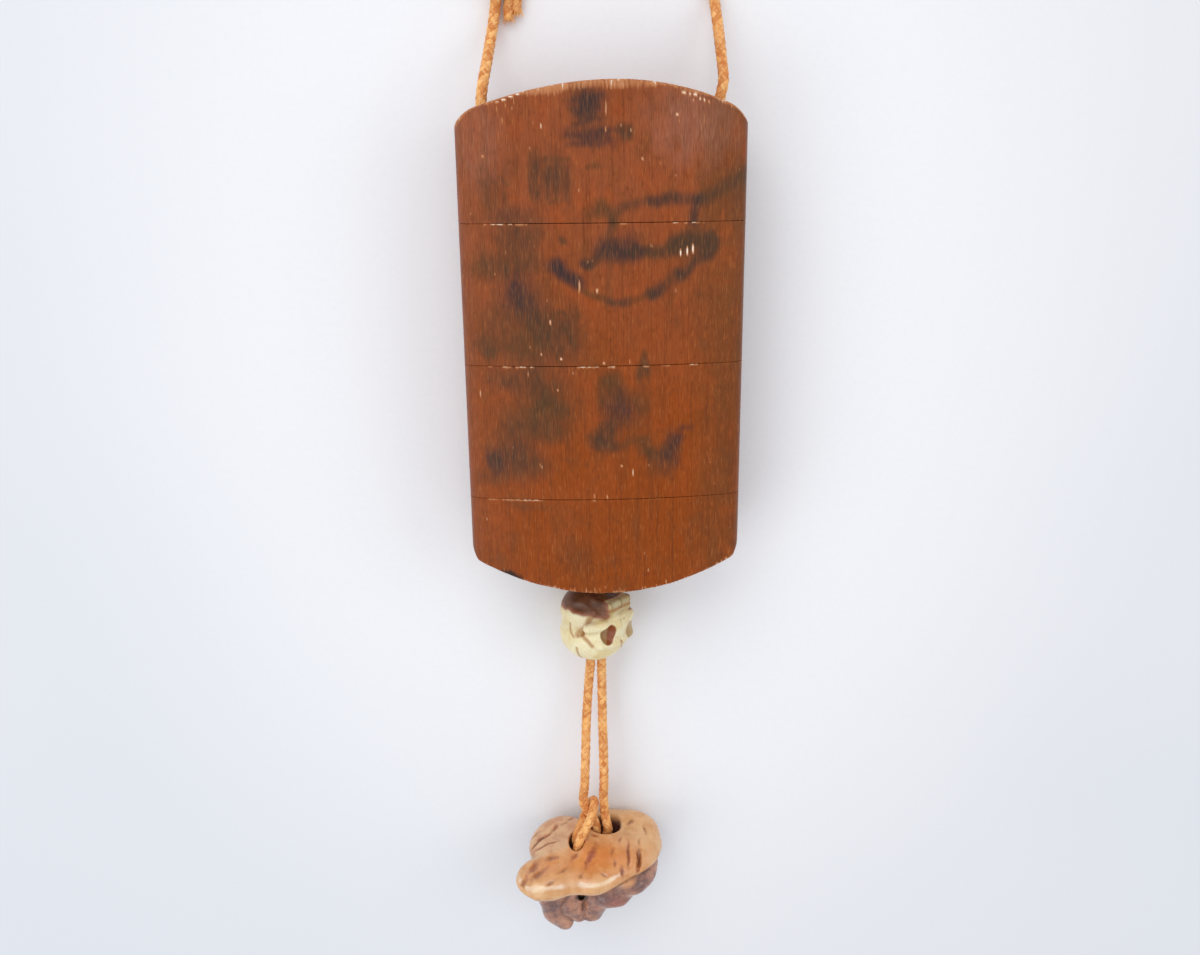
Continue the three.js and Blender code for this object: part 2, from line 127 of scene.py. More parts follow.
def smooth(a, b, v):
    t = np.clip((v - a) / (b - a), 0, 1)
    return t * t * (3 - 2 * t)


# ---------- meshes ----------
def make_object(name, points, quads=None, tris=None, attributes=None, uv=None, sharp=None):
    """A mesh object from points in millimetres; it sits at the origin with its place in its vertices."""
    quads = np.zeros((0, 4), np.int64) if quads is None else np.asarray(quads, np.int64)
    tris = np.zeros((0, 3), np.int64) if tris is None else np.asarray(tris, np.int64)
    mesh = bpy.data.meshes.new(name)
    mesh.vertices.add(len(points))
    mesh.vertices.foreach_set("co", (np.asarray(points, np.float64) * MM).astype(np.float32).ravel())
    loops = np.concatenate([quads.ravel(), tris.ravel()]).astype(np.int32)
    starts = np.concatenate([np.arange(len(quads)) * 4, len(quads) * 4 + np.arange(len(tris)) * 3]).astype(np.int32)
    mesh.loops.add(len(loops))
    mesh.loops.foreach_set("vertex_index", loops)
    mesh.polygons.add(len(starts))
    mesh.polygons.foreach_set("loop_start", starts)
    mesh.update(calc_edges=True)
    if uv is not None:
        layer = mesh.uv_layers.new(name="along")
        layer.data.foreach_set("uv", np.asarray(uv, np.float32).ravel())
    for key, values in (attributes or {}).items():
        a = mesh.attributes.new(key, "FLOAT", "POINT")
        a.data.foreach_set("value", np.asarray(values, np.float32))
    mesh.polygons.foreach_set("use_smooth", np.ones(len(starts), bool))
    if sharp is not None:
        mesh.set_sharp_from_angle(angle=sharp * RAD)
    obj = bpy.data.objects.new(name, mesh)
    scene.collection.objects.link(obj)
    return obj


def finish_piece(obj, material, nodes):
    obj.data.materials.append(material)
    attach(obj, "root")
    if nodes:
        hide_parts(*nodes)
    return obj


class Shell:
    """Collects the points and faces of one closed surface that is made of rings round the Y axis and of caps across it."""

    def __init__(self):
        self.points, self.count, self.quads, self.tris = [], 0, [], []

    def add(self, pts):
        pts = np.asarray(pts, float).reshape(-1, 3)
        index = np.arange(self.count, self.count + len(pts))
        self.points.append(pts)
        self.count += len(pts)
        return index

    def bridge(self, low, high, out):
        """Faces between two rings; low has the smaller Y. out is True where the wall faces away from the axis."""
        l2, h2 = np.roll(low, -1), np.roll(high, -1)
        self.quads.append(np.stack([low, high, h2, l2] if out else [low, l2, h2, high], 1))

    def cap(self, outer, holes, inside, y_of, up):
        """Fills the region inside the ring outer and outside the rings in holes, using the further (x, z) points in
        inside at the height y_of(x, z). up is True where it faces +Y."""
        pts = np.concatenate(self.points)
        rings = [outer, *holes]
        flat = [pts[r][:, [0, 2]] for r in rings]
        edges, at = [], 0
        for f in flat:
            n = len(f)
            edges += [(at + k, at + (k + 1) % n) for k in range(n)]
            at += n
        inside = np.asarray(inside, float).reshape(-1, 2)
        ids = list(np.concatenate(rings))
        if len(inside):
            y = y_of(inside[:, 0], inside[:, 1])
            ids += list(self.add(np.stack([inside[:, 0], y, inside[:, 1]], 1)))
        every = np.concatenate([*flat, inside]) if len(inside) else np.concatenate(flat)
        made = delaunay_2d_cdt([Vector(p) for p in every.tolist()], edges, [], 0, 1e-9, True)
        source = np.array([o[0] if len(o) else -1 for o in made[3]])
        tri = source[np.array([t for t in made[2] if len(t) == 3], np.int64)]
        tri = tri[(tri >= 0).all(1)]
        c = every[tri].mean(1)
        keep = in_loop(c, flat[0])
        for f in flat[1:]:
            keep &= ~in_loop(c, f)
        tri = tri[keep]
        a, b, d = every[tri[:, 0]], every[tri[:, 1]], every[tri[:, 2]]
        area = (b[:, 0] - a[:, 0]) * (d[:, 1] - a[:, 1]) - (b[:, 1] - a[:, 1]) * (d[:, 0] - a[:, 0])
        tri = np.where((area < 0)[:, None], tri[:, ::-1], tri)
        tri = np.asarray(ids)[tri]
        self.tris.append(tri[:, ::-1] if up else tri)

    def arrays(self):
        return (
            np.concatenate(self.points),
            np.concatenate(self.quads) if self.quads else None,
            np.concatenate(self.tris) if self.tris else None,
        )


def in_loop(c, loop):
    """Which of the 2D points c are inside the closed loop."""
    a, b = loop, np.roll(loop, -1, 0)
    inside = np.zeros(len(c), bool)
    for (x0, y0), (x1, y1) in zip(a, b):
        if y0 == y1:
            continue
        hit = (c[:, 1] < y0) != (c[:, 1] < y1)
        inside ^= hit & (c[:, 0] < x0 + (c[:, 1] - y0) / (y1 - y0) * (x1 - x0))
    return inside


# ---------- camera ----------
CAMERA_AT = (-6.0673, 35.5245, 235.8884)
CAMERA_AXES = ((0.9996, 0.01713, -0.02251), (-0.01022, 0.96077, 0.27716), (0.02637, -0.27682, 0.96056))
CAMERA_LENS = 32.52

camera = bpy.data.objects.new("camera", bpy.data.cameras.new("camera"))
scene.collection.objects.link(camera)
camera.data.sensor_fit = "HORIZONTAL"
camera.data.sensor_width = 36.0
camera.data.lens = CAMERA_LENS
camera.data.clip_start, camera.data.clip_end = 0.01, 50
turn = Matrix(CAMERA_AXES).to_quaternion().normalized().to_matrix().to_4x4()
camera.matrix_world = Matrix.Translation(Vector(CAMERA_AT) * MM) @ turn
scene.camera = camera


# ---------- the cord's route ----------
def toggle_at(u, v, w):
    """A point of the toggle's own frame: u to +X, v up off the table, w out of the cap towards the bead."""
    s, c = math.sin(TOGGLE_TILT * RAD), math.cos(TOGGLE_TILT * RAD)
    x, y, z = TOGGLE_CENTRE
    return (x + u, y - v * s + w * c, z + v * c + w * s)


def spline(points, per=40):
    """Centripetal Catmull-Rom through the points, densely sampled."""
    p = np.asarray(points, float)
    p = np.vstack([2 * p[0] - p[1], p, 2 * p[-1] - p[-2]])
    out = []
    for k in range(1, len(p) - 2):
        p0, p1, p2, p3 = p[k - 1], p[k], p[k + 1], p[k + 2]
        t0 = 0.0
        t1 = t0 + max(np.linalg.norm(p1 - p0), 1e-6) ** 0.5
        t2 = t1 + max(np.linalg.norm(p2 - p1), 1e-6) ** 0.5
        t3 = t2 + max(np.linalg.norm(p3 - p2), 1e-6) ** 0.5
        t = np.linspace(t1, t2, per, endpoint=False)[:, None]
        a1 = (t1 - t) / (t1 - t0) * p0 + (t - t0) / (t1 - t0) * p1
        a2 = (t2 - t) / (t2 - t1) * p1 + (t - t1) / (t2 - t1) * p2
        a3 = (t3 - t) / (t3 - t2) * p2 + (t - t2) / (t3 - t2) * p3
        b1 = (t2 - t) / (t2 - t0) * a1 + (t - t0) / (t2 - t0) * a2
        b2 = (t3 - t) / (t3 - t1) * a2 + (t - t1) / (t3 - t1) * a3
        out.append((t2 - t) / (t2 - t1) * b1 + (t - t1) / (t2 - t1) * b2)
    out.append(p[-2][None])
    return np.vstack(out)


BASE_MOUTH = {-1: float(base_y(-TUNNEL_X)), 1: float(base_y(TUNNEL_X))}
LID_MOUTH_Y = float(lid_y(TUNNEL_X))


def lid_run(sign):
    """From a lid mouth round the domed end to the bead."""
    x = sign * TUNNEL_X
    bx, by, bz = BEAD_CENTRE
    s = sign * STRAND_SPACING / 2
    run = [(x, LID_MOUTH_Y - 0.35, MID_Z), (x * 0.962, LID_MOUTH_Y - 2.35, MID_Z - 0.25)]
    for share in (0.8, 0.6, 0.38):
        at = x * share + bx * (1 - share) * 0.5
        run.append((at, float(lid_y(at)) - 2.5, bz + (MID_Z - bz) * share))
    run += [
        (x * 0.18 + bx * 0.75, LID_MOUTH_Y - 7.95, bz + 0.4),
        (bx + s + sign * 0.75, by + BEAD_RUN_HALF + 1.0, bz + 0.05),
        (bx + s + sign * 0.1, by + BEAD_RUN_HALF - 0.7, bz),
    ]
    return run


def strand(sign):
    """From the bead down to the toggle's hollow."""
    bx, by, bz = BEAD_CENTRE
    s = sign * STRAND_SPACING / 2
    return [
        (bx + s, by - BEAD_RUN_HALF - 0.35, bz),
        (bx + s * 1.1 - 0.1, by - 12.5, bz - 0.9),
        (bx + s * 1.3 - 0.3, by - 19.0, bz - 2.3),
        (bx + s * 1.5 - 0.5, by - 26.0, bz - 2.2),
        (bx + s * 1.65 - 0.6, by - 33.0, bz - 0.1),
        toggle_at(1.6 + sign * 2.3, -6.4, 15.6),
        toggle_at(1.45 + sign * 2.35, -6.7, 13.0),
        toggle_at(1.4 + sign * 2.4, -6.8, 11.0),
        toggle_at(1.55 + sign * 2.38, -6.6, 9.0),
        toggle_at(2.3 + sign * 1.78, -6.1, 6.6),
        toggle_at(3.05 + sign * 1.42, -5.3, 4.6),
        toggle_at(3.4 + sign * 1.42, -4.9, 2.4),
    ]


def bead_run(sign):
    bx, by, bz = BEAD_CENTRE
    s = sign * STRAND_SPACING / 2
    return [(bx + s, by + 5.0, bz), (bx + s, by, bz), (bx + s, by - 5.0, bz)]


LOOP = [
    (-TUNNEL_X, 43.8, MID_Z),
    (-TUNNEL_X, BASE_MOUTH[-1] + 0.35, MID_Z),
    (-TUNNEL_X + 0.4, BASE_MOUTH[-1] + 4.0, MID_Z - 0.7),
    (-22.2, BASE_MOUTH[-1] + 8.6, MID_Z - 4.6),
    (-21.6, BASE_MOUTH[-1] + 13.0, MID_Z - 8.8),
    (-20.8, BASE_MOUTH[-1] + 17.6, 1.9),
    (-20.1, 68.2, 2.1),
    (-19.1, 71.9, 3.15),
    (-17.9, 75.8, 2.4),
    (-16.2, 79.4, 1.2),
    (-12.6, 88.0, TABLE_CORD_Z),
    (-10.8, 97.0, TABLE_CORD_Z),
    (-9.0, 105.0, TABLE_CORD_Z),
    (-4.6, 111.4, TABLE_CORD_Z),
    (2.4, 113.45, TABLE_CORD_Z),
    (9.4, 111.2, TABLE_CORD_Z),
    (13.8, 105.0, TABLE_CORD_Z),
    (16.2, 96.0, TABLE_CORD_Z),
    (19.4, 86.0, TABLE_CORD_Z),
    (21.8, 76.0, TABLE_CORD_Z),
    (23.2, BASE_MOUTH[1] + 21.0, 1.5),
    (23.7, BASE_MOUTH[1] + 15.0, 5.0),
    (24.1, BASE_MOUTH[1] + 9.0, MID_Z - 4.2),
    (TUNNEL_X + 0.8, BASE_MOUTH[1] + 4.0, MID_Z - 0.7),
    (TUNNEL_X, BASE_MOUTH[1] + 0.35, MID_Z),
    (TUNNEL_X, 43.8, MID_Z),
]
RIGHT_TUNNEL = [(TUNNEL_X, 20.0, MID_Z), (TUNNEL_X, -12.0, MID_Z), (TUNNEL_X, -43.4, MID_Z)]
IN_AND_OUT = [  # through the toggle's channel, out of its smaller hole, round the left strand and back
    toggle_at(4.55, -4.95, 0.75),
    toggle_at(3.75, -4.4, -0.55),
    toggle_at(2.4, -3.25, -1.3),
    toggle_at(0.9, -1.9, -1.4),
    toggle_at(-0.8, -0.7, -1.1),
    toggle_at(-2.0, 0.1, -0.2),
    toggle_at(-2.55, 0.45, 1.1),
    toggle_at(-2.6, 0.5, 2.6),
    toggle_at(-1.9, -0.1, 4.6),
    toggle_at(-0.6, -1.6, 6.3),
    toggle_at(0.6, -3.3, 7.9),
    toggle_at(1.3, -4.9, 9.0),
    toggle_at(1.57, -6.5, 9.4),
    toggle_at(1.5, -8.0, 8.9),
    toggle_at(1.1, -8.95, 7.75),
    toggle_at(0.45, -9.1, 6.45),
    toggle_at(-0.25, -8.35, 5.35),
    toggle_at(-0.9, -6.85, 4.8),
    toggle_at(-1.5, -5.0, 4.65),
    toggle_at(-2.2, -3.35, 4.1),
    toggle_at(-2.8, -2.35, 2.7),
    toggle_at(-2.85, -2.15, 1.3),
    toggle_at(-2.35, -2.4, 0.0),
    toggle_at(-1.3, -3.15, -0.9),
    toggle_at(-0.1, -3.9, -1.25),
    toggle_at(1.0, -4.5, -0.85),
    toggle_at(1.75, -4.85, 0.2),
]
LEFT_TUNNEL = [(-TUNNEL_X, -43.4, MID_Z), (-TUNNEL_X, -12.0, MID_Z), (-TUNNEL_X, 20.0, MID_Z), (-TUNNEL_X, 43.2, MID_Z)]

ROUTE = (
    LOOP
    + RIGHT_TUNNEL
    + lid_run(1)
    + bead_run(1)
    + strand(1)
    + IN_AND_OUT
    + strand(-1)[::-1]
    + bead_run(-1)[::-1]
    + lid_run(-1)[::-1]
    + LEFT_TUNNEL
)


def hidden(p):
    """Whether a point of the route is well inside a tunnel of the case."""
    return (np.abs(np.abs(p[:, 0]) - TUNNEL_X) < 0.6) & (p[:, 1] < 42.5) & (p[:, 1] > -42.5)


def stations(line, fine, coarse):
    """Distances along the line for the rings, closer together where the cord shows."""
    step = np.linalg.norm(np.diff(line, axis=0), axis=1)
    at = np.concatenate([[0], np.cumsum(step)])
    inside = hidden(line)
    out, s = [0.0], 0.0
    while s < at[-1] - fine * 0.5:
        k = min(np.searchsorted(at, s), len(line) - 1)
        s += coarse if inside[k] else fine
        out.append(min(s, at[-1]))
    out = np.array(out)
    return out, np.stack([np.interp(out, at, line[:, k]) for k in range(3)], 1), at[-1]


def frames(points, first):
    """A direction and two sideways directions at each point, without twist."""
    t = np.gradient(points, axis=0)
    t /= np.linalg.norm(t, axis=1)[:, None]
    n = np.zeros_like(t)
    v = np.asarray(first, float)
    v = v - t[0] * (v @ t[0])
    n[0] = v / np.linalg.norm(v)
    for k in range(1, len(t)):
        v = n[k - 1] - t[k] * (n[k - 1] @ t[k])
        n[k] = v / np.linalg.norm(v)
    return t, n, np.cross(t, n)


BRAID_COLUMNS = 8


def braid(theta, s, pitch, seed):
    """Height (0 to 1) of a round braid of eight strands, and a tone for each stitch and fibre."""
    a = theta * (BRAID_COLUMNS / 2) / (2 * math.pi)
    u, v = a + s / pitch, -a + s / pitch
    i, j = np.floor(u), np.floor(v)
    du, dv = u - i - 0.5, v - j - 0.5
    odd = np.mod(i - j, 2) > 0.5
    across, along = np.where(odd, dv, du), np.where(odd, du, dv)
    height = 1 - 0.6 * (2 * across) ** 2 - 0.3 * (2 * along) ** 4
    # each strand bundles a few yarns side by side
    height = height + 0.05 * np.cos(across * 2 * math.pi * 3)
    column = np.mod(i - j, BRAID_COLUMNS).astype(np.int64)
    tone = _lattice(i.astype(np.int64) + j.astype(np.int64), column, column * 0, seed)
    fibre = _lattice(np.floor(across * 7).astype(np.int64), i.astype(np.int64) + j.astype(np.int64), column, seed + 5)
    return np.clip(height, 0, 1.1), tone, fibre


def tube(line_s, points, radius, amp, sides, first, pitch, seed, rounded=(True, True)):
    """A braided tube along the points, closed at its ends."""
    t, n, b = frames(points, first)
    theta = np.linspace(0, 2 * math.pi, sides, endpoint=False)
    s2, th2 = np.meshgrid(line_s, theta, indexing="ij")
    h, tone, fibre = braid(th2.ravel(), s2.ravel(), pitch, seed)
    h, tone, fibre = (q.reshape(s2.shape) for q in (h, tone, fibre))
    amp = np.broadcast_to(np.asarray(amp, float), (len(line_s),))[:, None]
    r = radius[:, None] + amp * (h - 0.85)
    if rounded[0]:
        e = np.clip((line_s - line_s[0]) / radius[0], 0, 1)
        r = r * np.sqrt(np.clip(1 - (1 - e) ** 2, 0.02, 1))[:, None]
    if rounded[1]:
        e = np.clip((line_s[-1] - line_s) / radius[-1], 0, 1)
        r = r * np.sqrt(np.clip(1 - (1 - e) ** 2, 0.02, 1))[:, None]
    ring = points[:, None, :] + r[..., None] * (np.cos(theta)[None, :, None] * n[:, None] + np.sin(theta)[None, :, None] * b[:, None])
    k, m = len(line_s), sides
    index = np.arange(k * m).reshape(k, m)
    nxt = np.roll(index, -1, 1)
    quads = np.stack([index[:-1], nxt[:-1], nxt[1:], index[1:]], -1).reshape(-1, 4)
    pts = ring.reshape(-1, 3)
    first_c, last_c = k * m, k * m + 1
    pts = np.vstack([pts, points[0], points[-1]])
    tris = np.concatenate(
        [
            np.stack([np.full(m, first_c), nxt[0], index[0]], 1),
            np.stack([np.full(m, last_c), index[-1], nxt[-1]], 1),
        ]
    )
    pad = lambda q: np.concatenate([q.ravel(), [0.5, 0.5]])
    facts = {"height": pad(h), "tone": pad(tone), "fibre": pad(fibre)}
    return pts, quads, tris, facts


line = spline(ROUTE, 60)
cord_s, cord_points, cord_length = stations(line, 0.2, 1.5)
deep = hidden(cord_points)
cord_radius = np.full(len(cord_s), CORD_DIAMETER / 2 - 0.02)
slack = noise(np.stack([cord_s, cord_s * 0, cord_s * 0], 1), 9.0, 3)
cord_radius = cord_radius * (1 + 0.025 * slack)
pts, quads, tris, facts = tube(cord_s, cord_points, cord_radius, np.where(deep, 0.0, 0.21), 40, (0, 0, 1), 1.72, 11)
pts[:, 2] = np.maximum(pts[:, 2], 0.01)
cord = make_object("cord", pts, quads, tris, facts)
CORD_NODES = [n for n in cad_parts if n.startswith("cord_") and n != "cord_knot"]
print("cord length", round(cord_length, 1), "mm, faces", len(quads))


# ---------- the knot that joins the cord's ends ----------
def wrap(axis_from, axis_to, radius, start, turns, count):
    """Points of a coil round the line from axis_from to axis_to."""
    a, b = np.asarray(axis_from, float), np.asarray(axis_to, float)
    d = (b - a) / np.linalg.norm(b - a)
    side = np.cross(d, (0, 0, 1.0))
    side /= np.linalg.norm(side)
    up = np.cross(side, d)
    out = []
    for k in range(count):
        e = k / (count - 1)
        ang = (start + turns * 360 * e) * RAD
        out.append(tuple(a + (b - a) * e + radius * (math.cos(ang) * side + math.sin(ang) * up)))
    return out


def knot_tube(points, seed, radius=1.04):
    dense = spline(points, 24)
    step = np.linalg.norm(np.diff(dense, axis=0), axis=1)
    at = np.concatenate([[0], np.cumsum(step)])
    s = np.arange(0, at[-1], 0.2)
    s = np.append(s, at[-1])
    p = np.stack([np.interp(s, at, dense[:, k]) for k in range(3)], 1)
    return tube(s, p, np.full(len(s), radius), 0.2, 32, (0, 0, 1), 1.68, seed)


KNOT_AXIS = ((-19.7, 69.6, 3.2), (-18.4, 74.4, 3.2))
KNOT_TUBES = [
    [(-17.85, 63.3, TABLE_CORD_Z), (-17.9, 65.8, 1.2), (-17.5, 68.0, 1.7)]
    + wrap(KNOT_AXIS[0], (-19.0, 72.2, 3.25), 2.05, -20, 1.35, 14)
    + [(-19.0, 73.2, 4.6)],
    [(-16.2, 64.5, TABLE_CORD_Z), (-16.25, 66.8, 1.18), (-15.9, 69.4, 1.5)]
    + wrap((-19.1, 71.4, 3.2), KNOT_AXIS[1], 2.1, -25, 1.4, 14)
    + [(-18.0, 74.6, 2.9)],
]
all_p, all_q, all_t, all_f, base = [], [], [], {"height": [], "tone": [], "fibre": []}, 0
for k, pts_in in enumerate(KNOT_TUBES):
    p, q, t, f = knot_tube(pts_in, 21 + k)
    all_p.append(p)
    all_q.append(q + base)
    all_t.append(t + base)
    for key in all_f:
        all_f[key].append(f[key])
    base += len(p)
# loose fibres at the two cut ends
rng = np.random.default_rng(7)
for end, count in (((-17.85, 63.4, 1.1), 16), ((-16.2, 64.6, 1.1), 16)):
    for k in range(count):
        a = rng.uniform(0, 2 * math.pi)
        r0 = rng.uniform(0.2, 0.85)
        start = np.array(end) + np.array([r0 * math.cos(a), 0.6, r0 * math.sin(a) * 0.9])
        tip = start + np.array([rng.uniform(-0.5, 0.5) + 0.3 * math.cos(a), -rng.uniform(0.6, 1.5), rng.uniform(-0.2, 0.3)])
        tip[2] = max(tip[2], 0.1)
        mid = (start + tip) / 2 + np.array([0.15 * math.cos(a), 0, 0.1])
        dense = spline([start, mid, tip], 5)
        th = np.linspace(0, 2 * math.pi, 5, endpoint=False)
        tt, nn, bb = frames(dense, (0.1, 0.2, 1))
        rr = np.linspace(0.09, 0.03, len(dense))
        ring = dense[:, None] + rr[:, None, None] * (np.cos(th)[None, :, None] * nn[:, None] + np.sin(th)[None, :, None] * bb[:, None])
        m, kk = 5, len(dense)
        index = np.arange(kk * m).reshape(kk, m)
        nxt = np.roll(index, -1, 1)
        p = np.vstack([ring.reshape(-1, 3), dense[0], dense[-1]])
        q = np.stack([index[:-1], nxt[:-1], nxt[1:], index[1:]], -1).reshape(-1, 4)
        t = np.concatenate([np.stack([np.full(m, kk * m), nxt[0], index[0]], 1), np.stack([np.full(m, kk * m + 1), index[-1], nxt[-1]], 1)])
        all_p.append(p)
        all_q.append(q + base)
        all_t.append(t + base)
        for key, value in (("height", 1.0), ("tone", rng.uniform(0, 1)), ("fibre", 0.6)):
            all_f[key].append(np.full(len(p), value))
        base += len(p)
pts = np.vstack(all_p)
pts[:, 2] = np.maximum(pts[:, 2], 0.01)
knot = make_object("cord_knot_tied", pts, np.vstack(all_q), np.vstack(all_t), {k: np.concatenate(v) for k, v in all_f.items()})


# ---------- the case's section ----------
def lens_loop(half_w, half_h, crown, corner, side, fillet, top, bottom):
    """Closed outline (x, z) and its outward normals, anticlockwise from the foot of the +X side. The last four numbers
    are how many steps each side, rounded corner, front arc and back arc has."""
    radius = (half_w**2 + crown**2) / (2 * crown)
    arc_z = half_h - radius
    fx = half_w - corner
    fz = arc_z + math.sqrt((radius - corner) ** 2 - fx**2)
    meet = math.atan2(fz - arc_z, fx)
    p, n = [], []

    def arc(cx, cz, r, a0, a1, steps):
        for k in range(steps):
            a = a0 + (a1 - a0) * k / steps
            p.append((cx + r * math.cos(a), cz + r * math.sin(a)))
            n.append((math.cos(a), math.sin(a)))

    for k in range(side):
        p.append((half_w, -fz + 2 * fz * k / side))
        n.append((1, 0))
    arc(fx, fz, corner, 0, meet, fillet)
    arc(0, arc_z, radius, meet, math.pi - meet, top)
    arc(-fx, fz, corner, math.pi - meet, math.pi, fillet)
    for k in range(side):
        p.append((-half_w, fz - 2 * fz * k / side))
        n.append((-1, 0))
    arc(-fx, -fz, corner, math.pi, math.pi + meet, fillet)
    arc(0, -arc_z, radius, math.pi + meet, 2 * math.pi - meet, bottom)
    arc(fx, -fz, corner, 2 * math.pi - meet, 2 * math.pi, fillet)
    return np.array(p), np.array(n)


OUTER, OUTER_N = lens_loop(HALF_W, CASE_THICKNESS / 2, FACE_CROWN, CORNER_RADIUS, 44, 22, 370, 210)
OUTER = OUTER + (0, MID_Z)
OUTER_S = np.concatenate([[0], np.cumsum(np.linalg.norm(np.diff(OUTER, axis=0), axis=1))])  # length round the outline
INNER_STEPS = (6, 6, 26, 26)


def inner_loop(half_w, half_h, crown, corner, inset=0.0):
    p, n = lens_loop(half_w, half_h, crown, corner, *INNER_STEPS)
    return p - n * inset + (0, MID_Z)


# ---------- marks on the case ----------
# Broad washes of old ink: centre x and y, half length across and along the grain, density, how cold (0 olive to 1 blue-black).
WASHES = [
    (-17.3, 26.4, 4.4, 1.7, 0.5, 0.6), (-17.0, 22.6, 4.4, 2.7, 0.6, 0.35), (-13.2, 23.0, 1.7, 2.3, 0.35, 0.1), (-19.8, 17.4, 5.8, 2.7, 0.65, 0.15),
    (-23.8, 15.8, 2.8, 1.9, 0.45, 0.1), (-16.0, 18.0, 3.3, 3.5, 0.5, 0.3), (-16.8, 11.8, 3.2, 4.5, 0.92, 0.95), (-14.2, 8.0, 3.4, 3.8, 0.65, 0.4),
    (-12.0, 4.2, 3.8, 3.6, 0.55, 0.25), (-18.0, 4.2, 6.2, 4.3, 0.6, 0.15), (-22.8, 0.9, 3.0, 1.9, 0.6, 0.3), (-16.4, 1.2, 4.2, 2.5, 0.4, 0.1),
    (-9.2, 3.4, 4.2, 5.0, 0.6, 0.4), (-6.2, 4.8, 1.5, 3.0, 0.6, 0.25), (-14.5, -1.0, 8.0, 2.0, 0.35, 0.2),
    (-14.7, -5.0, 6.6, 2.6, 0.45, 0.5), (-20.0, -5.0, 2.3, 2.1, 0.4, 0.3), (-12.2, -8.0, 4.3, 4.5, 0.6, 0.1), (-11.5, -10.6, 2.5, 2.5, 0.6, 0.15),
    (-9.0, -11.8, 2.0, 2.0, 0.65, 0.2), (-16.0, -12.5, 5.4, 3.7, 0.55, 0.15), (-13.0, -15.4, 5.8, 2.7, 0.55, 0.2), (-9.6, -16.2, 2.3, 1.7, 0.35, 0.2),
    (-6.0, -11.3, 1.9, 3.6, 0.3, 0.1), (-18.5, -15.6, 2.9, 2.5, 0.4, 0.3), (-19.6, -20.2, 4.1, 3.7, 0.6, 0.5), (-22.6, -21.8, 2.1, 2.7, 0.8, 0.9),
    (-17.5, -22.5, 4.5, 3.9, 0.5, 0.5), (-14.4, -23.6, 3.5, 2.7, 0.35, 0.2), (-22.6, -26.2, 3.5, 1.9, 0.4, 0.3),
    (1.6, -6.6, 2.7, 2.0, 0.6, 0.1), (0.6, -9.6, 2.7, 2.5, 0.55, 0.2), (2.9, -12.0, 3.0, 3.0, 0.8, 0.9), (1.4, -15.2, 2.5, 2.1, 0.55, 0.3),
    (-0.6, -17.0, 2.3, 2.1, 0.8, 0.5), (-2.2, -17.2, 1.7, 1.7, 0.45, 0.2), (2.0, -18.6, 2.5, 1.4, 0.65, 0.4), (7.8, -3.6, 1.2, 2.5, 0.8, 0.2),
    (7.8, -1.2, 1.1, 1.3, 0.5, 0.1), (6.2, -8.8, 2.1, 2.3, 0.4, 0.1), (7.4, -11.2, 1.6, 1.7, 0.5, 0.1), (6.2, -14.6, 2.1, 1.9, 0.35, 0.1),
    (6.4, -18.0, 2.1, 1.2, 0.6, 0.1), (8.2, -20.2, 1.7, 1.5, 0.5, 0.1), (9.8, -21.4, 1.4, 1.9, 0.45, 0.2), (13.1, -20.6, 1.6, 3.7, 0.92, 0.85),
    (13.5, -17.9, 1.5, 1.3, 0.85, 0.9), (11.4, -20.4, 2.0, 2.7, 0.55, 0.3), (11.2, -24.6, 2.3, 1.7, 0.35, 0.3), (15.8, -15.9, 1.4, 0.8, 0.5, 0.9),
    (-17.6, -31.3, 2.5, 1.1, 0.35, 0.2), (-13.0, -30.9, 2.1, 0.8, 0.25, 0.1), (-6.6, -42.5, 3.6, 3.2, 0.25, 0.2),
    (-2.6, 47.0, 3.1, 2.4, 0.85, 0.8), (-3.4, 44.6, 2.0, 2.0, 0.7, 0.8), (-2.4, 40.6, 4.2, 1.7, 0.8, 0.9), (3.9, 41.7, 1.6, 1.5, 0.75, 0.4),
    (-0.6, 26.8, 2.9, 1.7, 0.65, 0.05),
    (1.5, 25.6, 1.3, 1.9, 0.65, 0.1), (18.4, 21.2, 3.3, 2.5, 0.6, 0.25), (20.8, 21.2, 1.7, 2.1, 0.45, 0.0), (3.4, 20.6, 3.2, 2.3, 0.5, 0.8),
    (-10.4, 33.4, 3.4, 4.6, 0.42, 0.3), (-8.8, 32.0, 1.9, 3.0, 0.5, 0.5), (-12.8, 34.0, 0.9, 4.2, 0.5, 0.4), (-20.6, 30.6, 2.4, 4.2, 0.35, 0.3),
    (-17.4, 34.8, 1.7, 4.2, 0.25, 0.2),
    (26.4, 30.6, 2.6, 5.0, 0.45, 0.1),
]
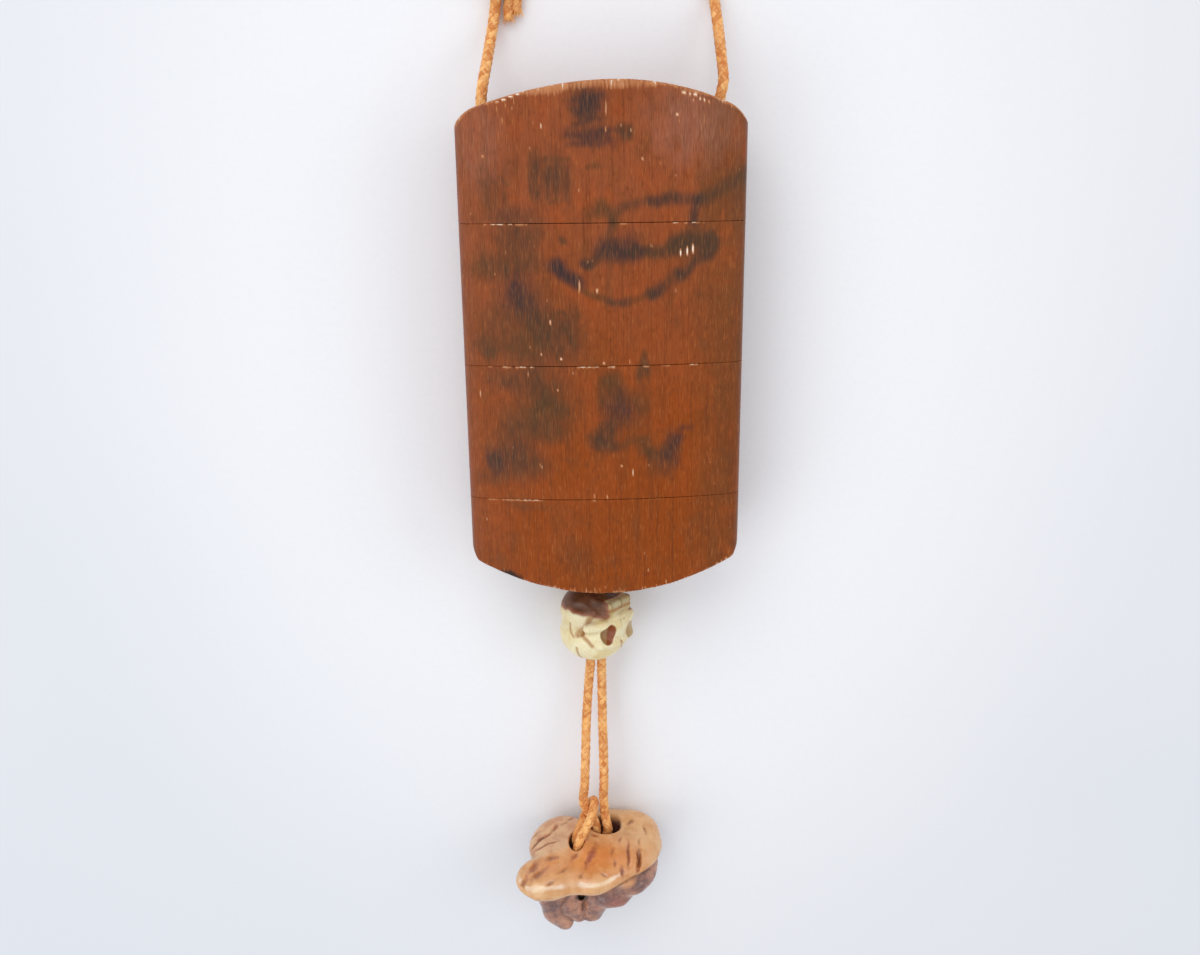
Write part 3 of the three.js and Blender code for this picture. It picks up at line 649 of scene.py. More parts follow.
# The worn figure: brush lines as points, half width, density, how cold.
BRUSH = [
    ([(3.0, 27.9), (9.4, 28.9), (14.1, 29.3)], 0.9, 0.5, 0.5),
    ([(9.4, 28.9), (14.1, 29.3), (18.4, 29.2)], 1.0, 0.65, 0.8),
    ([(18.4, 29.2), (21.4, 30.1), (24.3, 31.5), (27.8, 33.8)], 1.4, 0.65, 0.35),
    ([(17.5, 28.8), (17.6, 24.9)], 0.9, 0.75, 0.9),
    ([(0.2, 19.6), (3.0, 19.9), (6.0, 19.2)], 1.75, 0.9, 0.9),
    ([(6.0, 19.2), (9.8, 19.4), (14.2, 20.2), (16.8, 20.9)], 1.25, 0.82, 0.35),
    ([(14.6, 20.6), (18.2, 21.4), (20.6, 20.4)], 1.9, 0.85, 0.35),
    ([(20.8, 21.4), (20.0, 18.6), (17.4, 16.4), (14.9, 15.2)], 1.1, 0.82, 0.6),
    ([(14.9, 15.4), (12.0, 12.9), (9.4, 11.5)], 0.95, 0.6, 0.5),
    ([(10.8, 12.2), (9.0, 11.2)], 1.1, 0.6, 0.9),
    ([(9.4, 11.4), (6.2, 10.2), (3.2, 9.7)], 0.75, 0.5, 0.1),
    ([(4.6, 9.8), (1.8, 9.9)], 1.0, 0.5, 0.9),
    ([(1.8, 9.8), (-1.5, 11.2), (-5.1, 13.0)], 0.65, 0.6, 0.0),
    ([(-9.4, 16.9), (-7.8, 15.3), (-5.4, 13.9)], 1.35, 0.97, 0.95),
    ([(-4.0, 17.4), (-2.6, 17.3)], 0.85, 0.88, 0.8),
    ([(-2.4, 17.8), (0.6, 18.6)], 1.1, 0.6, 0.4),
    ([(1.6, 25.4), (1.2, 22.8), (1.4, 20.4)], 0.85, 0.6, 0.3),
    ([(1.1, 17.2), (1.1, 13.6), (1.6, 11.0)], 0.6, 0.3, 0.1),
    ([(-7.9, 22.2), (-7.4, 21.6)], 0.8, 0.72, 0.4),
    ([(-9.2, 7.2), (-8.2, 7.9), (-7.1, 7.3)], 0.38, 0.6, 0.2),
]
# Where an inscription was: rows of short dabs that spell nothing. Centre x of the row, y, dabs, pitch, length, half width,
# lean, density, how cold.
DAB_ROWS = [
    (-2.6, 47.3, 3, 1.9, 1.6, 0.62, 0.05, 0.85, 0.85), (-2.8, 45.3, 3, 1.9, 1.3, 0.55, -0.3, 0.75, 0.8), (-2.4, 43.3, 4, 1.7, 1.5, 0.45, 0.2, 0.8, 0.6),
    (-1.6, 41.3, 5, 1.9, 1.5, 0.5, -0.1, 0.7, 0.85), (4.2, 41.6, 2, 1.3, 1.4, 0.55, 1.2, 0.75, 0.4), (-2.6, 39.2, 4, 2.0, 1.7, 0.55, 0.05, 0.65, 0.85),
    (-1.7, 35.4, 2, 1.1, 1.1, 0.42, 0.2, 0.7, 0.0), (-9.4, 36.5, 3, 2.3, 1.8, 0.4, 0.1, 0.62, 0.2), (-12.6, 36.6, 1, 1.0, 2.6, 0.7, 1.6, 0.6, 0.35),
    (-9.6, 34.0, 4, 2.05, 2.9, 0.45, 1.5, 0.62, 0.5), (-9.7, 30.7, 4, 2.05, 2.1, 0.45, 1.5, 0.58, 0.4), (-9.2, 29.1, 2, 1.5, 1.5, 0.42, 0.5, 0.75, 0.0),
    (-12.8, 29.4, 1, 1.0, 1.8, 0.6, 1.5, 0.5, 0.3), (-20.3, 35.2, 3, 2.3, 1.9, 0.42, 1.35, 0.34, 0.3), (-20.6, 32.3, 3, 1.9, 1.5, 0.45, -0.9, 0.5, 0.4),
    (-20.4, 29.0, 3, 1.9, 2.1, 0.45, 1.7, 0.48, 0.3),
]
# Small flakes where the colour is lost, and painted glints: x, y, half length along the grain, half width, strength.
FLAKES_AND_GLINTS = [
    (-11.4, 42.6, 0.55, 0.18, 0.8), (-22.5, 37.2, 0.3, 0.3, 0.6), (0.7, 45.6, 1.5, 0.14, 0.7), (0.6, 41.9, 0.5, 0.15, 0.6), (-4.7, 13.1, 1.25, 0.17, 0.8),
    (-1.3, 12.2, 0.55, 0.26, 0.85), (-18.6, 43.6, 0.8, 0.12, 0.45), (-21.0, 15.5, 0.3, 0.14, 0.45), (-18.8, 19.4, 0.3, 0.14, 0.45), (7.5, 36.6, 0.4, 0.22, 0.75),
    (14.0, 44.4, 0.35, 0.3, 0.9), (18.4, 32.9, 0.22, 0.36, 0.45), (10.9, 35.8, 0.4, 0.18, 0.3), (14.0, 11.9, 0.5, 0.3, 0.3), (14.9, 19.1, 0.8, 0.18, 1.0),
    (16.2, 19.4, 1.0, 0.22, 1.0), (17.3, 19.8, 1.05, 0.24, 1.0), (-10.5, 6.1, 0.55, 0.2, 0.8), (-12.4, -0.2, 0.4, 0.18, 0.75), (-8.5, -1.0, 0.3, 0.26, 0.9),
    (-9.3, -7.3, 0.35, 0.18, 0.7), (-15.1, -4.1, 0.6, 0.12, 0.6), (-24.8, -8.2, 0.8, 0.15, 0.7), (-4.8, 12.1, 0.4, 0.16, 0.5), (-14.6, 1.2, 0.5, 0.16, 0.35),
    (-0.1, -1.9, 0.3, 0.32, 0.75), (-2.3, -29.3, 0.4, 0.2, 0.6), (0.3, -29.4, 0.4, 0.2, 0.6), (-13.2, -22.7, 0.5, 0.2, 0.3), (-9.3, -27.5, 0.5, 0.14, 0.3),
    (5.0, -1.8, 0.4, 0.14, 0.6), (3.3, -23.2, 0.22, 0.42, 1.0), (5.6, -24.5, 0.95, 0.18, 0.75), (22.6, -27.5, 0.25, 0.25, 0.5), (0.4, -29.9, 0.3, 0.16, 0.35),
    (21.4, -23.0, 0.4, 0.14, 0.3), (14.8, 40.6, 0.5, 0.14, 0.4), (-13.6, 38.6, 0.5, 0.16, 0.35), (13.8, 33.4, 0.35, 0.3, 0.3),
    # painted glints: highlights along the rounded top edge, and sparkles of sheen just below it on the right
    (15.2, 48.2, 0.22, 0.5, 0.9), (16.3, 47.8, 0.3, 0.3, 1.0), (17.4, 47.9, 0.2, 0.5, 1.0), (18.3, 47.2, 0.42, 0.2, 1.0), (19.1, 46.9, 0.4, 0.22, 0.95),
    (17.0, 46.9, 0.3, 0.16, 0.7), (19.9, 46.5, 0.25, 0.3, 0.7), (-19.4, 46.9, 0.25, 0.5, 0.7), (-18.2, 47.3, 0.22, 0.6, 0.85), (-16.9, 47.8, 0.2, 0.6, 0.9),
    (-15.6, 48.2, 0.22, 0.5, 0.85), (-14.6, 48.6, 0.2, 0.4, 0.7), (-19.6, 45.8, 0.6, 0.12, 0.5), (-17.9, 46.3, 0.6, 0.12, 0.5), (-16.3, 46.9, 0.5, 0.12, 0.5),
    (19.2, 43.6, 1.1, 0.1, 0.35), (18.6, 42.0, 0.8, 0.1, 0.4), (17.2, 44.2, 0.7, 0.1, 0.3), (14.4, 43.2, 0.5, 0.14, 0.5),
]
# Chipped lengths of the seams, on the upper lip of the piece below: seam, x from, x to, strength.
SEAM_CHIPS = [
    (0, -22.8, -22.2, 0.7), (0, -21.6, -18.9, 1.0), (0, -18.1, -17.4, 0.9), (0, -16.8, -14.5, 0.5), (0, 3.2, 4.6, 0.4), (0, 13.3, 14.4, 1.0),
    (0, 15.5, 16.1, 0.9), (0, 17.1, 18.5, 1.0), (0, 18.9, 19.5, 0.5), (1, -23.1, -22.2, 0.6), (1, -20.1, -18.5, 0.7), (1, -17.5, -15.5, 0.9),
    (1, -14.6, -13.9, 0.8), (1, -5.4, -1.1, 0.95), (1, 0.7, 2.0, 1.0), (1, 7.6, 8.8, 0.9), (1, 11.4, 13.0, 0.35), (1, 17.0, 18.4, 1.0),
    (2, -24.0, -20.8, 0.35), (2, -20.6, -19.2, 0.5), (2, -19.2, -12.8, 0.75), (2, -2.6, -1.9, 0.5), (2, 9.0, 12.0, 0.2),
]


def polyline_distance(x, y, points):
    best = np.full(len(x), 1e9)
    for (x0, y0), (x1, y1) in zip(points, points[1:]):
        dx, dy = x1 - x0, y1 - y0
        t = np.clip(((x - x0) * dx + (y - y0) * dy) / (dx * dx + dy * dy), 0, 1)
        best = np.minimum(best, np.hypot(x - x0 - t * dx, y - y0 - t * dy))
    return best


def dabs():
    draw = np.random.default_rng(41)
    for cx, y, count, pitch, length, half, lean, density, cold in DAB_ROWS:
        for k in range(count):
            x = cx + (k - (count - 1) / 2) * pitch + draw.uniform(-0.2, 0.2)
            yy = y + draw.uniform(-0.2, 0.2)
            a = lean + draw.uniform(-0.15, 0.15)
            dx, dy = length / 2 * math.cos(a), length / 2 * math.sin(a)
            yield [(x - dx, yy - dy), (x + dx, yy + dy)], half, density * draw.uniform(0.8, 1.1), cold


def ink_on(x, y):
    """Density of the old ink over the front, how deep its strokes are pressed in, and how cold its colour is."""
    p = np.stack([x, y, x * 0], 1)
    wx = x + 0.9 * noise(p, (3.2, 4.4, 1), 51) + 0.2 * noise(p, (0.9, 1.6, 1), 52)
    wy = y + 1.2 * noise(p, (2.8, 4.6, 1), 53) + 0.3 * noise(p, (0.8, 1.8, 1), 54)
    left, total, cold = np.ones(len(x)), np.full(len(x), 1e-3), np.zeros(len(x))
    for cx, cy, rx, ry, d, c in WASHES:
        m = min(1.12 * d, 0.95) * smooth(1.72, 0.15, np.sqrt(((wx - cx) / rx) ** 2 + ((wy - cy) / ry) ** 2))
        left *= 1 - m
        total += m
        cold += m * c
    wash = 1 - left
    sx = x + 0.5 * noise(p, (2.4, 4.2, 1), 55)
    sy = y + 0.55 * noise(p, (2.6, 3.8, 1), 56) + 0.12 * noise(p, (0.6, 1.8, 1), 59)
    left, press = np.ones(len(x)), np.zeros(len(x))
    for points, half, d, c in BRUSH:
        m = d * smooth(half * 1.75, half * 0.2, polyline_distance(sx, sy, points))
        left *= 1 - m
        total += 1.6 * m
        cold += 1.6 * m * c
    for points, half, d, c in dabs():
        m = smooth(half * 1.9, half * 0.2, polyline_distance(sx, sy, points))
        left *= 1 - 0.62 * d * m
        total += m
        cold += m * c
        press = np.maximum(press, 0.7 * m)
    strokes = 1 - left
    worn = 0.96 + 0.26 * fbm(p, (1.1, 2.6, 1), 57, 3) + 0.12 * noise(p, (0.35, 4.0, 1), 58)
    ink = 1 - (1 - wash * np.clip(worn, 0.1, 1.1)) * (1 - strokes * np.clip(worn + 0.1, 0.3, 1.05))
    return np.clip(ink, 0, 1), press, np.clip(cold / total, 0, 1)


def seam_chip(x, seam):
    """How much of a seam's lip is gone at x, from 0 to 1."""
    out = np.zeros(len(x))
    ragged = 0.75 + 0.5 * noise(np.stack([x, x * 0, x * 0 + seam * 7.3], 1), 0.5, 61)
    for k, x0, x1, strength in SEAM_CHIPS:
        if k == seam:
            out = np.maximum(out, strength * smooth(x0 - 0.25, x0 + 0.15, x) * smooth(x1 + 0.25, x1 - 0.15, x))
    return np.clip(out * ragged, 0, 1)


def case_relief(pts, press):
    """How far the worn surface lies below the section, in millimetres; 0 or more."""
    x, y, z = pts.T
    fibre = noise(pts, (0.42, 9.0, 0.42), 71) * 0.6 + noise(pts, (0.9, 16.0, 0.9), 72) * 0.4
    wide = fbm(pts, (4.5, 14.0, 4.5), 73, 2)
    pore = np.clip(noise(pts, (0.34, 2.4, 0.34), 74) - 0.55, 0, 1)
    d = 0.03 + 0.009 * fibre + 0.022 * wide + 0.04 * pore + 0.03 * press
    for cx, cy, ly, lx, s in FLAKES_AND_GLINTS:
        near = (np.abs(x - cx) < 1.2) & (np.abs(y - cy) < 2.6) & (z > MID_Z)
        if near.any():
            q = np.hypot((x[near] - cx) / (lx * 1.3), (y[near] - cy) / (ly * 1.15))
            d[near] += 0.07 * s * smooth(1.15, 0.4, q)
    return np.clip(d, 0, None)


def seam_half(x):
    """Half the gap of a seam: a little wider in the middle of the face than at the sides."""
    return 0.028 + 0.03 * smooth(24, 12, np.abs(np.asarray(x, float)))


MOUTH = [(2.75, 0.0), (2.5, 0.08), (2.28, 0.26), (2.08, 0.6), (1.92, 1.1), (1.82, 1.9)]
MOUTH_SIDES = 36


def circle(cx, r, count=MOUTH_SIDES):
    a = np.linspace(0, 2 * math.pi, count, endpoint=False)
    return np.stack([cx + r * np.cos(a), MID_Z + r * np.sin(a)], 1)


def case_piece(name, low_kind, high_kind, low_seam, high_seam):
    """One piece of the case. Its ends are a seam or a domed end; the seams are given by number."""
    shell = Shell()
    along = OUTER_S
    probe = np.stack([OUTER[:, 0], along, OUTER[:, 1]], 1)
    front = OUTER[:, 1] > MID_Z

    def edge_radius(kind, seam, high):
        if kind == "dome":
            r = 0.5 + 0.18 * noise(probe, 6.0, 81 + high) + 0.12 * noise(probe, 1.1, 82 + high)
            nick = np.clip(noise(probe, (0.8, 0.8, 3.0), 83 + high) - 0.45, 0, 1)
            return np.clip(r + 0.5 * nick, 0.3, 1.5)
        r = 0.075 + 0.025 * noise(probe, 1.6, 84 + seam + 5 * high)
        nick = np.clip(noise(probe, (1.0, 1.0, 2.0), 85 + seam + 5 * high) - 0.6, 0, 1)
        r = r + 0.35 * nick
        if high and front.any():
            r = r + np.where(front, 0.2 * seam_chip(OUTER[:, 0], seam), 0)
        return np.clip(r, 0.05, 0.5)

    r_lo, r_hi = edge_radius(low_kind, low_seam, 0), edge_radius(high_kind, high_seam, 1)
    lo_of = lid_y if low_kind == "dome" else (lambda x: SEAM_Y[low_seam] + seam_half(x))
    hi_of = base_y if high_kind == "dome" else (lambda x: SEAM_Y[high_seam] - seam_half(x))
    k_lo, k_hi = (6 if low_kind == "dome" else 3), (6 if high_kind == "dome" else 3)
    y_lo, y_hi = lo_of(OUTER[:, 0]) + r_lo, hi_of(OUTER[:, 0]) - r_hi
    rows = int(round(float(np.mean(y_hi - y_lo)) / 0.46))
    rings, edge = [], []
    for k in range(k_lo, 0, -1):
        a = k / k_lo * math.pi / 2
        p = OUTER - OUTER_N * (r_lo * (1 - math.cos(a)))[:, None]
        rings.append((p, lo_of(p[:, 0]) + r_lo * (1 - math.sin(a))))
        edge.append(np.full(len(p), -1.0 - k))
    for k in range(rows + 1):
        e = k / rows
        rings.append((OUTER, y_lo + (y_hi - y_lo) * e))
        edge.append(np.zeros(len(OUTER)))
    for k in range(1, k_hi + 1):
        a = k / k_hi * math.pi / 2
        p = OUTER - OUTER_N * (r_hi * (1 - math.cos(a)))[:, None]
        rings.append((p, hi_of(p[:, 0]) - r_hi * (1 - math.sin(a))))
        edge.append(np.full(len(p), 1.0 + k))
    grid = np.stack([np.stack([p[:, 0], y, p[:, 1]], 1) for p, y in rings])
    flat = grid.reshape(-1, 3)
    ink, press, cold = ink_on(flat[:, 0], flat[:, 1])
    on_front = np.tile(front, len(rings))
    ink, press = np.where(on_front, ink, 0), np.where(on_front, press, 0)
    normal = np.tile(OUTER_N, (len(rings), 1))
    depth = case_relief(flat, press)
    moved = flat.copy()
    moved[:, 0] -= normal[:, 0] * depth
    moved[:, 2] -= normal[:, 1] * depth
    moved[:, 2] = np.maximum(moved[:, 2], 0.0)
    index = shell.add(moved).reshape(len(rings), -1)
    for k in range(len(rings) - 1):
        shell.bridge(index[k], index[k + 1], True)
    first, last = index[0], index[-1]

    # the tunnels for the cord
    bores_low, bores_high = [], []
    for x in (-TUNNEL_X, TUNNEL_X):
        stack = []
        steps = MOUTH if low_kind == "dome" else [(2.02, 0.0), (1.88, 0.1), (1.8, 0.3)]
        for r, d in steps:
            c = circle(x, r)
            stack.append(np.stack([c[:, 0], lo_of(c[:, 0]) + d, c[:, 1]], 1))
        low_y, high_y = float(lo_of(x)) + 3, float(hi_of(x)) - 3
        for e in np.linspace(0, 1, 5):
            c = circle(x, TUNNEL_RADIUS)
            stack.append(np.stack([c[:, 0], c[:, 0] * 0 + low_y + (high_y - low_y) * e, c[:, 1]], 1))
        steps = MOUTH if high_kind == "dome" else [(2.02, 0.0), (1.88, 0.1), (1.8, 0.3)]
        for r, d in steps[::-1]:
            c = circle(x, r)
            stack.append(np.stack([c[:, 0], hi_of(c[:, 0]) - d, c[:, 1]], 1))
        ids = [shell.add(s) for s in stack]
        for a, b in zip(ids, ids[1:]):
            shell.bridge(a, b, False)
        bores_low.append(ids[0])
        bores_high.append(ids[-1])

    def flat_loop(loop, y):
        return shell.add(np.stack([loop[:, 0], np.broadcast_to(y, (len(loop),)), loop[:, 1]], 1))

    recess = lambda inset=0.0: inner_loop(RECESS_HALF_WIDTH, RECESS_HALF_HEIGHT, 2.4, 3.0, inset)
    riser = lambda inset=0.0: inner_loop(RECESS_HALF_WIDTH - RISER_CLEARANCE, RECESS_HALF_HEIGHT - RISER_CLEARANCE, 2.4, 2.8, inset)
    wall = RISER_CLEARANCE + RISER_WALL
    hollow = lambda inset=0.0: inner_loop(RECESS_HALF_WIDTH - wall, RECESS_HALF_HEIGHT - wall, 2.2, 1.8, inset)

    def floor_points(loop, pitch=2.0):
        x = np.arange(-20, 20.1, pitch)
        z = np.arange(MID_Z - 10, MID_Z + 10.1, pitch)
        g = np.stack(np.meshgrid(x, z), -1).reshape(-1, 2)
        g = g[in_loop(g, loop)]
        gap = np.min(np.linalg.norm(g[:, None] - loop[None], axis=2), axis=1)
        return g[gap > pitch * 0.45]

    # low end
    low_holes = list(bores_low)
    if low_kind == "seam":
        y0 = float(lo_of(0))
        top = flat_loop(riser(0), y0)
        a = flat_loop(riser(0), y0 - 0.4)
        b = flat_loop(riser(0), y0 - RISER_LENGTH + 0.3)
        c = flat_loop(riser(0.12), y0 - RISER_LENGTH + 0.08)
        d = flat_loop(riser(0.3), y0 - RISER_LENGTH)
        e = flat_loop(hollow(-0.2), y0 - RISER_LENGTH)
        f = flat_loop(hollow(0), y0 - RISER_LENGTH + 0.25)
        shell.bridge(a, top, True)
        shell.bridge(b, a, True)
        shell.bridge(c, b, True)
        shell.bridge(d, c, True)
        shell.bridge(d, e, False)
        shell.bridge(e, f, False)
        inner = hollow(0)
        if high_kind == "dome":
            roof = lambda x, z=0: base_y(x) - END_WALL
            g = shell.add(np.stack([inner[:, 0], roof(inner[:, 0]), inner[:, 1]], 1))
        else:
            level = SEAM_Y[high_seam] - 0.06 - RISER_LENGTH - RISER_END_GAP - FLOOR_THICKNESS
            roof = lambda x, z=0: level + 0 * x
            g = flat_loop(inner, level)
        shell.bridge(f, g, False)
        shell.cap(g, [], floor_points(inner), lambda x, z: roof(x), False)
        shell.cap(first, [*low_holes, top], [], None, False)
    else:
        pts2 = end_points(OUTER - OUTER_N * r_lo[:, None])
        shell.cap(first, low_holes, pts2, lambda x, z: lid_y(x) + end_relief(x, z, 91), False)
    # high end
    if high_kind == "seam":
        y1 = float(hi_of(0))
        inner = recess(0)
        lip = flat_loop(recess(-0.15), y1)
        a = flat_loop(recess(0), y1 - 0.15)
        if low_kind == "dome":
            floor = lambda x: lid_y(x) + END_WALL
        else:
            level2 = y1 - RISER_LENGTH - RISER_END_GAP
            floor = lambda x: level2 + 0 * x
        b = shell.add(np.stack([inner[:, 0], floor(inner[:, 0]), inner[:, 1]], 1))
        shell.bridge(a, lip, False)
        shell.bridge(b, a, False)
        shell.cap(b, [], floor_points(inner), lambda x, z: floor(x), True)
        shell.cap(last, [*bores_high, lip], [], None, True)
    else:
        pts2 = end_points(OUTER - OUTER_N * r_hi[:, None])
        shell.cap(last, bores_high, pts2, lambda x, z: base_y(x) - end_relief(x, z, 92), True)

    pts, quads, tris = shell.arrays()
    count = len(pts)
    attributes = {k: np.zeros(count) for k in ("ink", "cold", "wear_and_glint", "soot", "top_left_sheen_tone", "side_shade_tone", "painted_sheen")}
    n = len(flat)
    x, y, z = flat.T
    attributes["ink"][:n] = ink
    attributes["cold"][:n] = cold
    wear_and_glint = np.zeros(n)
    # worn flakes, and painted glints near the top edge, from the same list
    for cx, cy, ly, lx, s in FLAKES_AND_GLINTS:
        near = (np.abs(x - cx) < 1.4) & (np.abs(y - cy) < 3.0) & on_front
        if near.any():
            q = np.hypot((x[near] - cx) / lx, (y[near] - cy) / ly)
            wear_and_glint[near] = np.maximum(wear_and_glint[near], s * smooth(1.25, 0.45, q))
    across = np.stack([x, y * 0, z], 1)
    streak = noise(across, 0.42, 93) * 0.6 + noise(across, 1.9, 94) * 0.6
    fleck = smooth(0.3, 0.62, noise(flat, (0.3, 1.3, 0.3), 90))
    if high_kind == "dome":
        gap = base_y(x) - y
        wide = 0.9 + 1.3 * smooth(-16, -12, x) * smooth(12, 7, x) + 0.5 * noise(across, 3.0, 95)
        wear_and_glint = np.maximum(wear_and_glint, (0.36 + 0.22 * streak) * smooth(wide, 0.2 * wide, gap))
        wear_and_glint = np.maximum(wear_and_glint, fleck * smooth(wide * 1.2, 0.3, gap) * (0.62 + 0.3 * streak))
    if low_kind == "dome":
        gap = y - lid_y(x)
        wide = 0.7 + 0.4 * noise(across, 3.0, 96)
        wear_and_glint = np.maximum(wear_and_glint, np.clip(0.2 + 0.3 * streak, 0, 1) * smooth(wide, 0.1, gap))
        wear_and_glint = np.maximum(wear_and_glint, 0.6 * fleck * smooth(wide * 1.8, 0.3, gap))
        soot = smooth(1.35, 0.5, np.hypot(((x + 19.8) + (y + 46.6) * 0.0) / 2.3, (y - lid_y(x) - 0.35) / 0.95) + 0.25 * noise(flat, 0.8, 97))
        attributes["soot"][:n] = np.where(on_front, soot, 0)
    if high_kind == "seam":
        chip = seam_chip(x, high_seam)
        gap = SEAM_Y[high_seam] - seam_half(x) - y
        wear_and_glint = np.maximum(wear_and_glint, np.where(on_front, chip * smooth(0.3 + 0.1 * streak, 0.08, gap), 0))
    attributes["wear_and_glint"][:n] = np.clip(wear_and_glint, 0, 1)
    broad = fbm(flat, (8, 20, 8), 98, 3)
    # paler and pinker towards the top and left: painted sheen, over broad random tone
    attributes["top_left_sheen_tone"][:n] = np.clip(0.42 + (y + 4) / 62 - x / 95 + 0.3 * broad, 0, 1)
    # darker towards the sides, most on the right: painted shade where the face turns away, with random tone
    attributes["side_shade_tone"][:n] = np.clip(
        0.2 + 0.55 * smooth(13, 26, x) + 0.12 * smooth(-20, -28, x) + 0.35 * fbm(flat, (5, 18, 5), 99, 3), 0, 1
    )
    # painted sheen: a pinkish-grey reflection at the upper right of the front, a softer one at the upper left, and one
    # along the left edge
    painted_sheen = smooth(1.3, 0.2, np.hypot((x - 17.0) / 9.0, (y - 43.5) / 9.0) + 0.3 * noise(flat, (2.0, 3.0, 2.0), 88))
    painted_sheen = np.maximum(painted_sheen, 0.7 * smooth(1.2, 0.3, np.hypot((x + 24.0) / 5.5, (y - 40) / 9.0) + 0.3 * broad))
    painted_sheen = np.maximum(painted_sheen, 0.5 * smooth(-24.5, -28, x))
    attributes["painted_sheen"][:n] = np.where(on_front, np.clip(painted_sheen, 0, 1), 0)
    if count > n:
        attributes["top_left_sheen_tone"][n:] = 0.4
        attributes["side_shade_tone"][n:] = 0.35
    return make_object(name, pts, quads, tris, attributes, sharp=40)


def end_points(loop, pitch=0.55):
    """Points spread over a domed end, clear of its edge and of the tunnel mouths."""
    x = np.arange(-HALF_W, HALF_W + 0.01, pitch)
    z = np.arange(0.2, CASE_THICKNESS, pitch)
    g = np.stack(np.meshgrid(x, z), -1).reshape(-1, 2)
    g[:, 0] += 0.25 * pitch * (np.arange(len(g)) % 2)
    g = g[in_loop(g, loop)]
    keep = np.ones(len(g), bool)
    for k in range(0, len(g), 400):
        gap = np.min(np.linalg.norm(g[k : k + 400, None] - loop[None], axis=2), axis=1)
        keep[k : k + 400] = gap > pitch * 0.5
    for cx in (-TUNNEL_X, TUNNEL_X):
        keep &= np.hypot(g[:, 0] - cx, g[:, 1] - MID_Z) > MOUTH[0][0] + pitch * 0.4
    return g[keep]


def end_relief(x, z, seed):
    p = np.stack([x, z * 0, z], 1)
    return 0.03 + 0.02 * noise(p, 0.5, seed) + 0.025 * noise(p, 2.5, seed + 1)


# ---------- materials ----------
def srgb(r, g, b):
    def one(v):
        v = v / 255
        return v / 12.92 if v <= 0.04045 else ((v + 0.055) / 1.055) ** 2.4

    return (one(r), one(g), one(b), 1.0)


class Graph:
    """A short way to write a material's nodes."""

    def __init__(self, name):
        self.material = bpy.data.materials.new(name)
        self.material.use_nodes = True
        self.tree = self.material.node_tree
        self.bsdf = self.tree.nodes["Principled BSDF"]
        self.coordinates = self.tree.nodes.new("ShaderNodeTexCoord").outputs["Object"]

    def put(self, value, socket):
        if isinstance(value, bpy.types.NodeSocket):
            self.tree.links.new(value, socket)
        elif isinstance(value, tuple) and socket.type == "RGBA" and len(value) == 3:
            socket.default_value = (*value, 1.0)
        else:
            socket.default_value = value

    def attr(self, name):
        n = self.tree.nodes.new("ShaderNodeAttribute")
        n.attribute_name = name
        return n.outputs["Fac"]

    def stretch(self, size, offset=(0, 0, 0)):
        """Object coordinates divided by a size in millimetres."""
        n = self.tree.nodes.new("ShaderNodeMapping")
        n.inputs["Scale"].default_value = tuple(1000 / s for s in size)
        n.inputs["Location"].default_value = offset
        self.tree.links.new(self.coordinates, n.inputs["Vector"])
        return n.outputs["Vector"]

    def noise(self, size, offset=(0, 0, 0), detail=2.0, rough=0.55, warp=0.0):
        n = self.tree.nodes.new("ShaderNodeTexNoise")
        self.tree.links.new(self.stretch(size, offset), n.inputs["Vector"])
        n.inputs["Scale"].default_value = 1.0
        n.inputs["Detail"].default_value = detail
        n.inputs["Roughness"].default_value = rough
        n.inputs["Distortion"].default_value = warp
        return n.outputs["Fac"]

    def cells(self, size, offset=(0, 0, 0), feature="F1", out="Distance"):
        n = self.tree.nodes.new("ShaderNodeTexVoronoi")
        n.feature = feature
        self.tree.links.new(self.stretch(size, offset), n.inputs["Vector"])
        n.inputs["Scale"].default_value = 1.0
        return n.outputs[out]

    def math(self, op, a, b=0.0, clamp=False):
        n = self.tree.nodes.new("ShaderNodeMath")
        n.operation = op
        n.use_clamp = clamp
        self.put(a, n.inputs[0])
        self.put(b, n.inputs[1])
        return n.outputs[0]

    def span(self, value, a, b, c=0.0, d=1.0, kind="SMOOTHSTEP"):
        n = self.tree.nodes.new("ShaderNodeMapRange")
        n.interpolation_type = kind
        self.put(value, n.inputs["Value"])
        for key, v in (("From Min", a), ("From Max", b), ("To Min", c), ("To Max", d)):
            n.inputs[key].default_value = v
        return n.outputs["Result"]

    def mix(self, factor, a, b, mode="MIX"):
        n = self.tree.nodes.new("ShaderNodeMix")
        n.data_type = "RGBA"
        n.blend_type = mode
        self.put(factor, n.inputs[0])
        self.put(a, n.inputs[6])
        self.put(b, n.inputs[7])
        return n.outputs[2]

    def ramp(self, value, stops):
        n = self.tree.nodes.new("ShaderNodeValToRGB")
        e = n.color_ramp.elements
        while len(e) < len(stops):
            e.new(0.5)
        for k, (at, colour) in enumerate(stops):
            e[k].position = at
            e[k].color = colour
        self.put(value, n.inputs["Fac"])
        return n.outputs["Color"]

    def bump(self, height, distance_mm, strength=1.0, under=None):
        n = self.tree.nodes.new("ShaderNodeBump")
        n.inputs["Distance"].default_value = distance_mm * MM
        n.inputs["Strength"].default_value = strength
        self.put(height, n.inputs["Height"])
        if under is not None:
            self.tree.links.new(under, n.inputs["Normal"])
        return n.outputs["Normal"]

    def set(self, **sockets):
        for key, value in sockets.items():
            self.put(value, self.bsdf.inputs[key.replace("_", " ")])


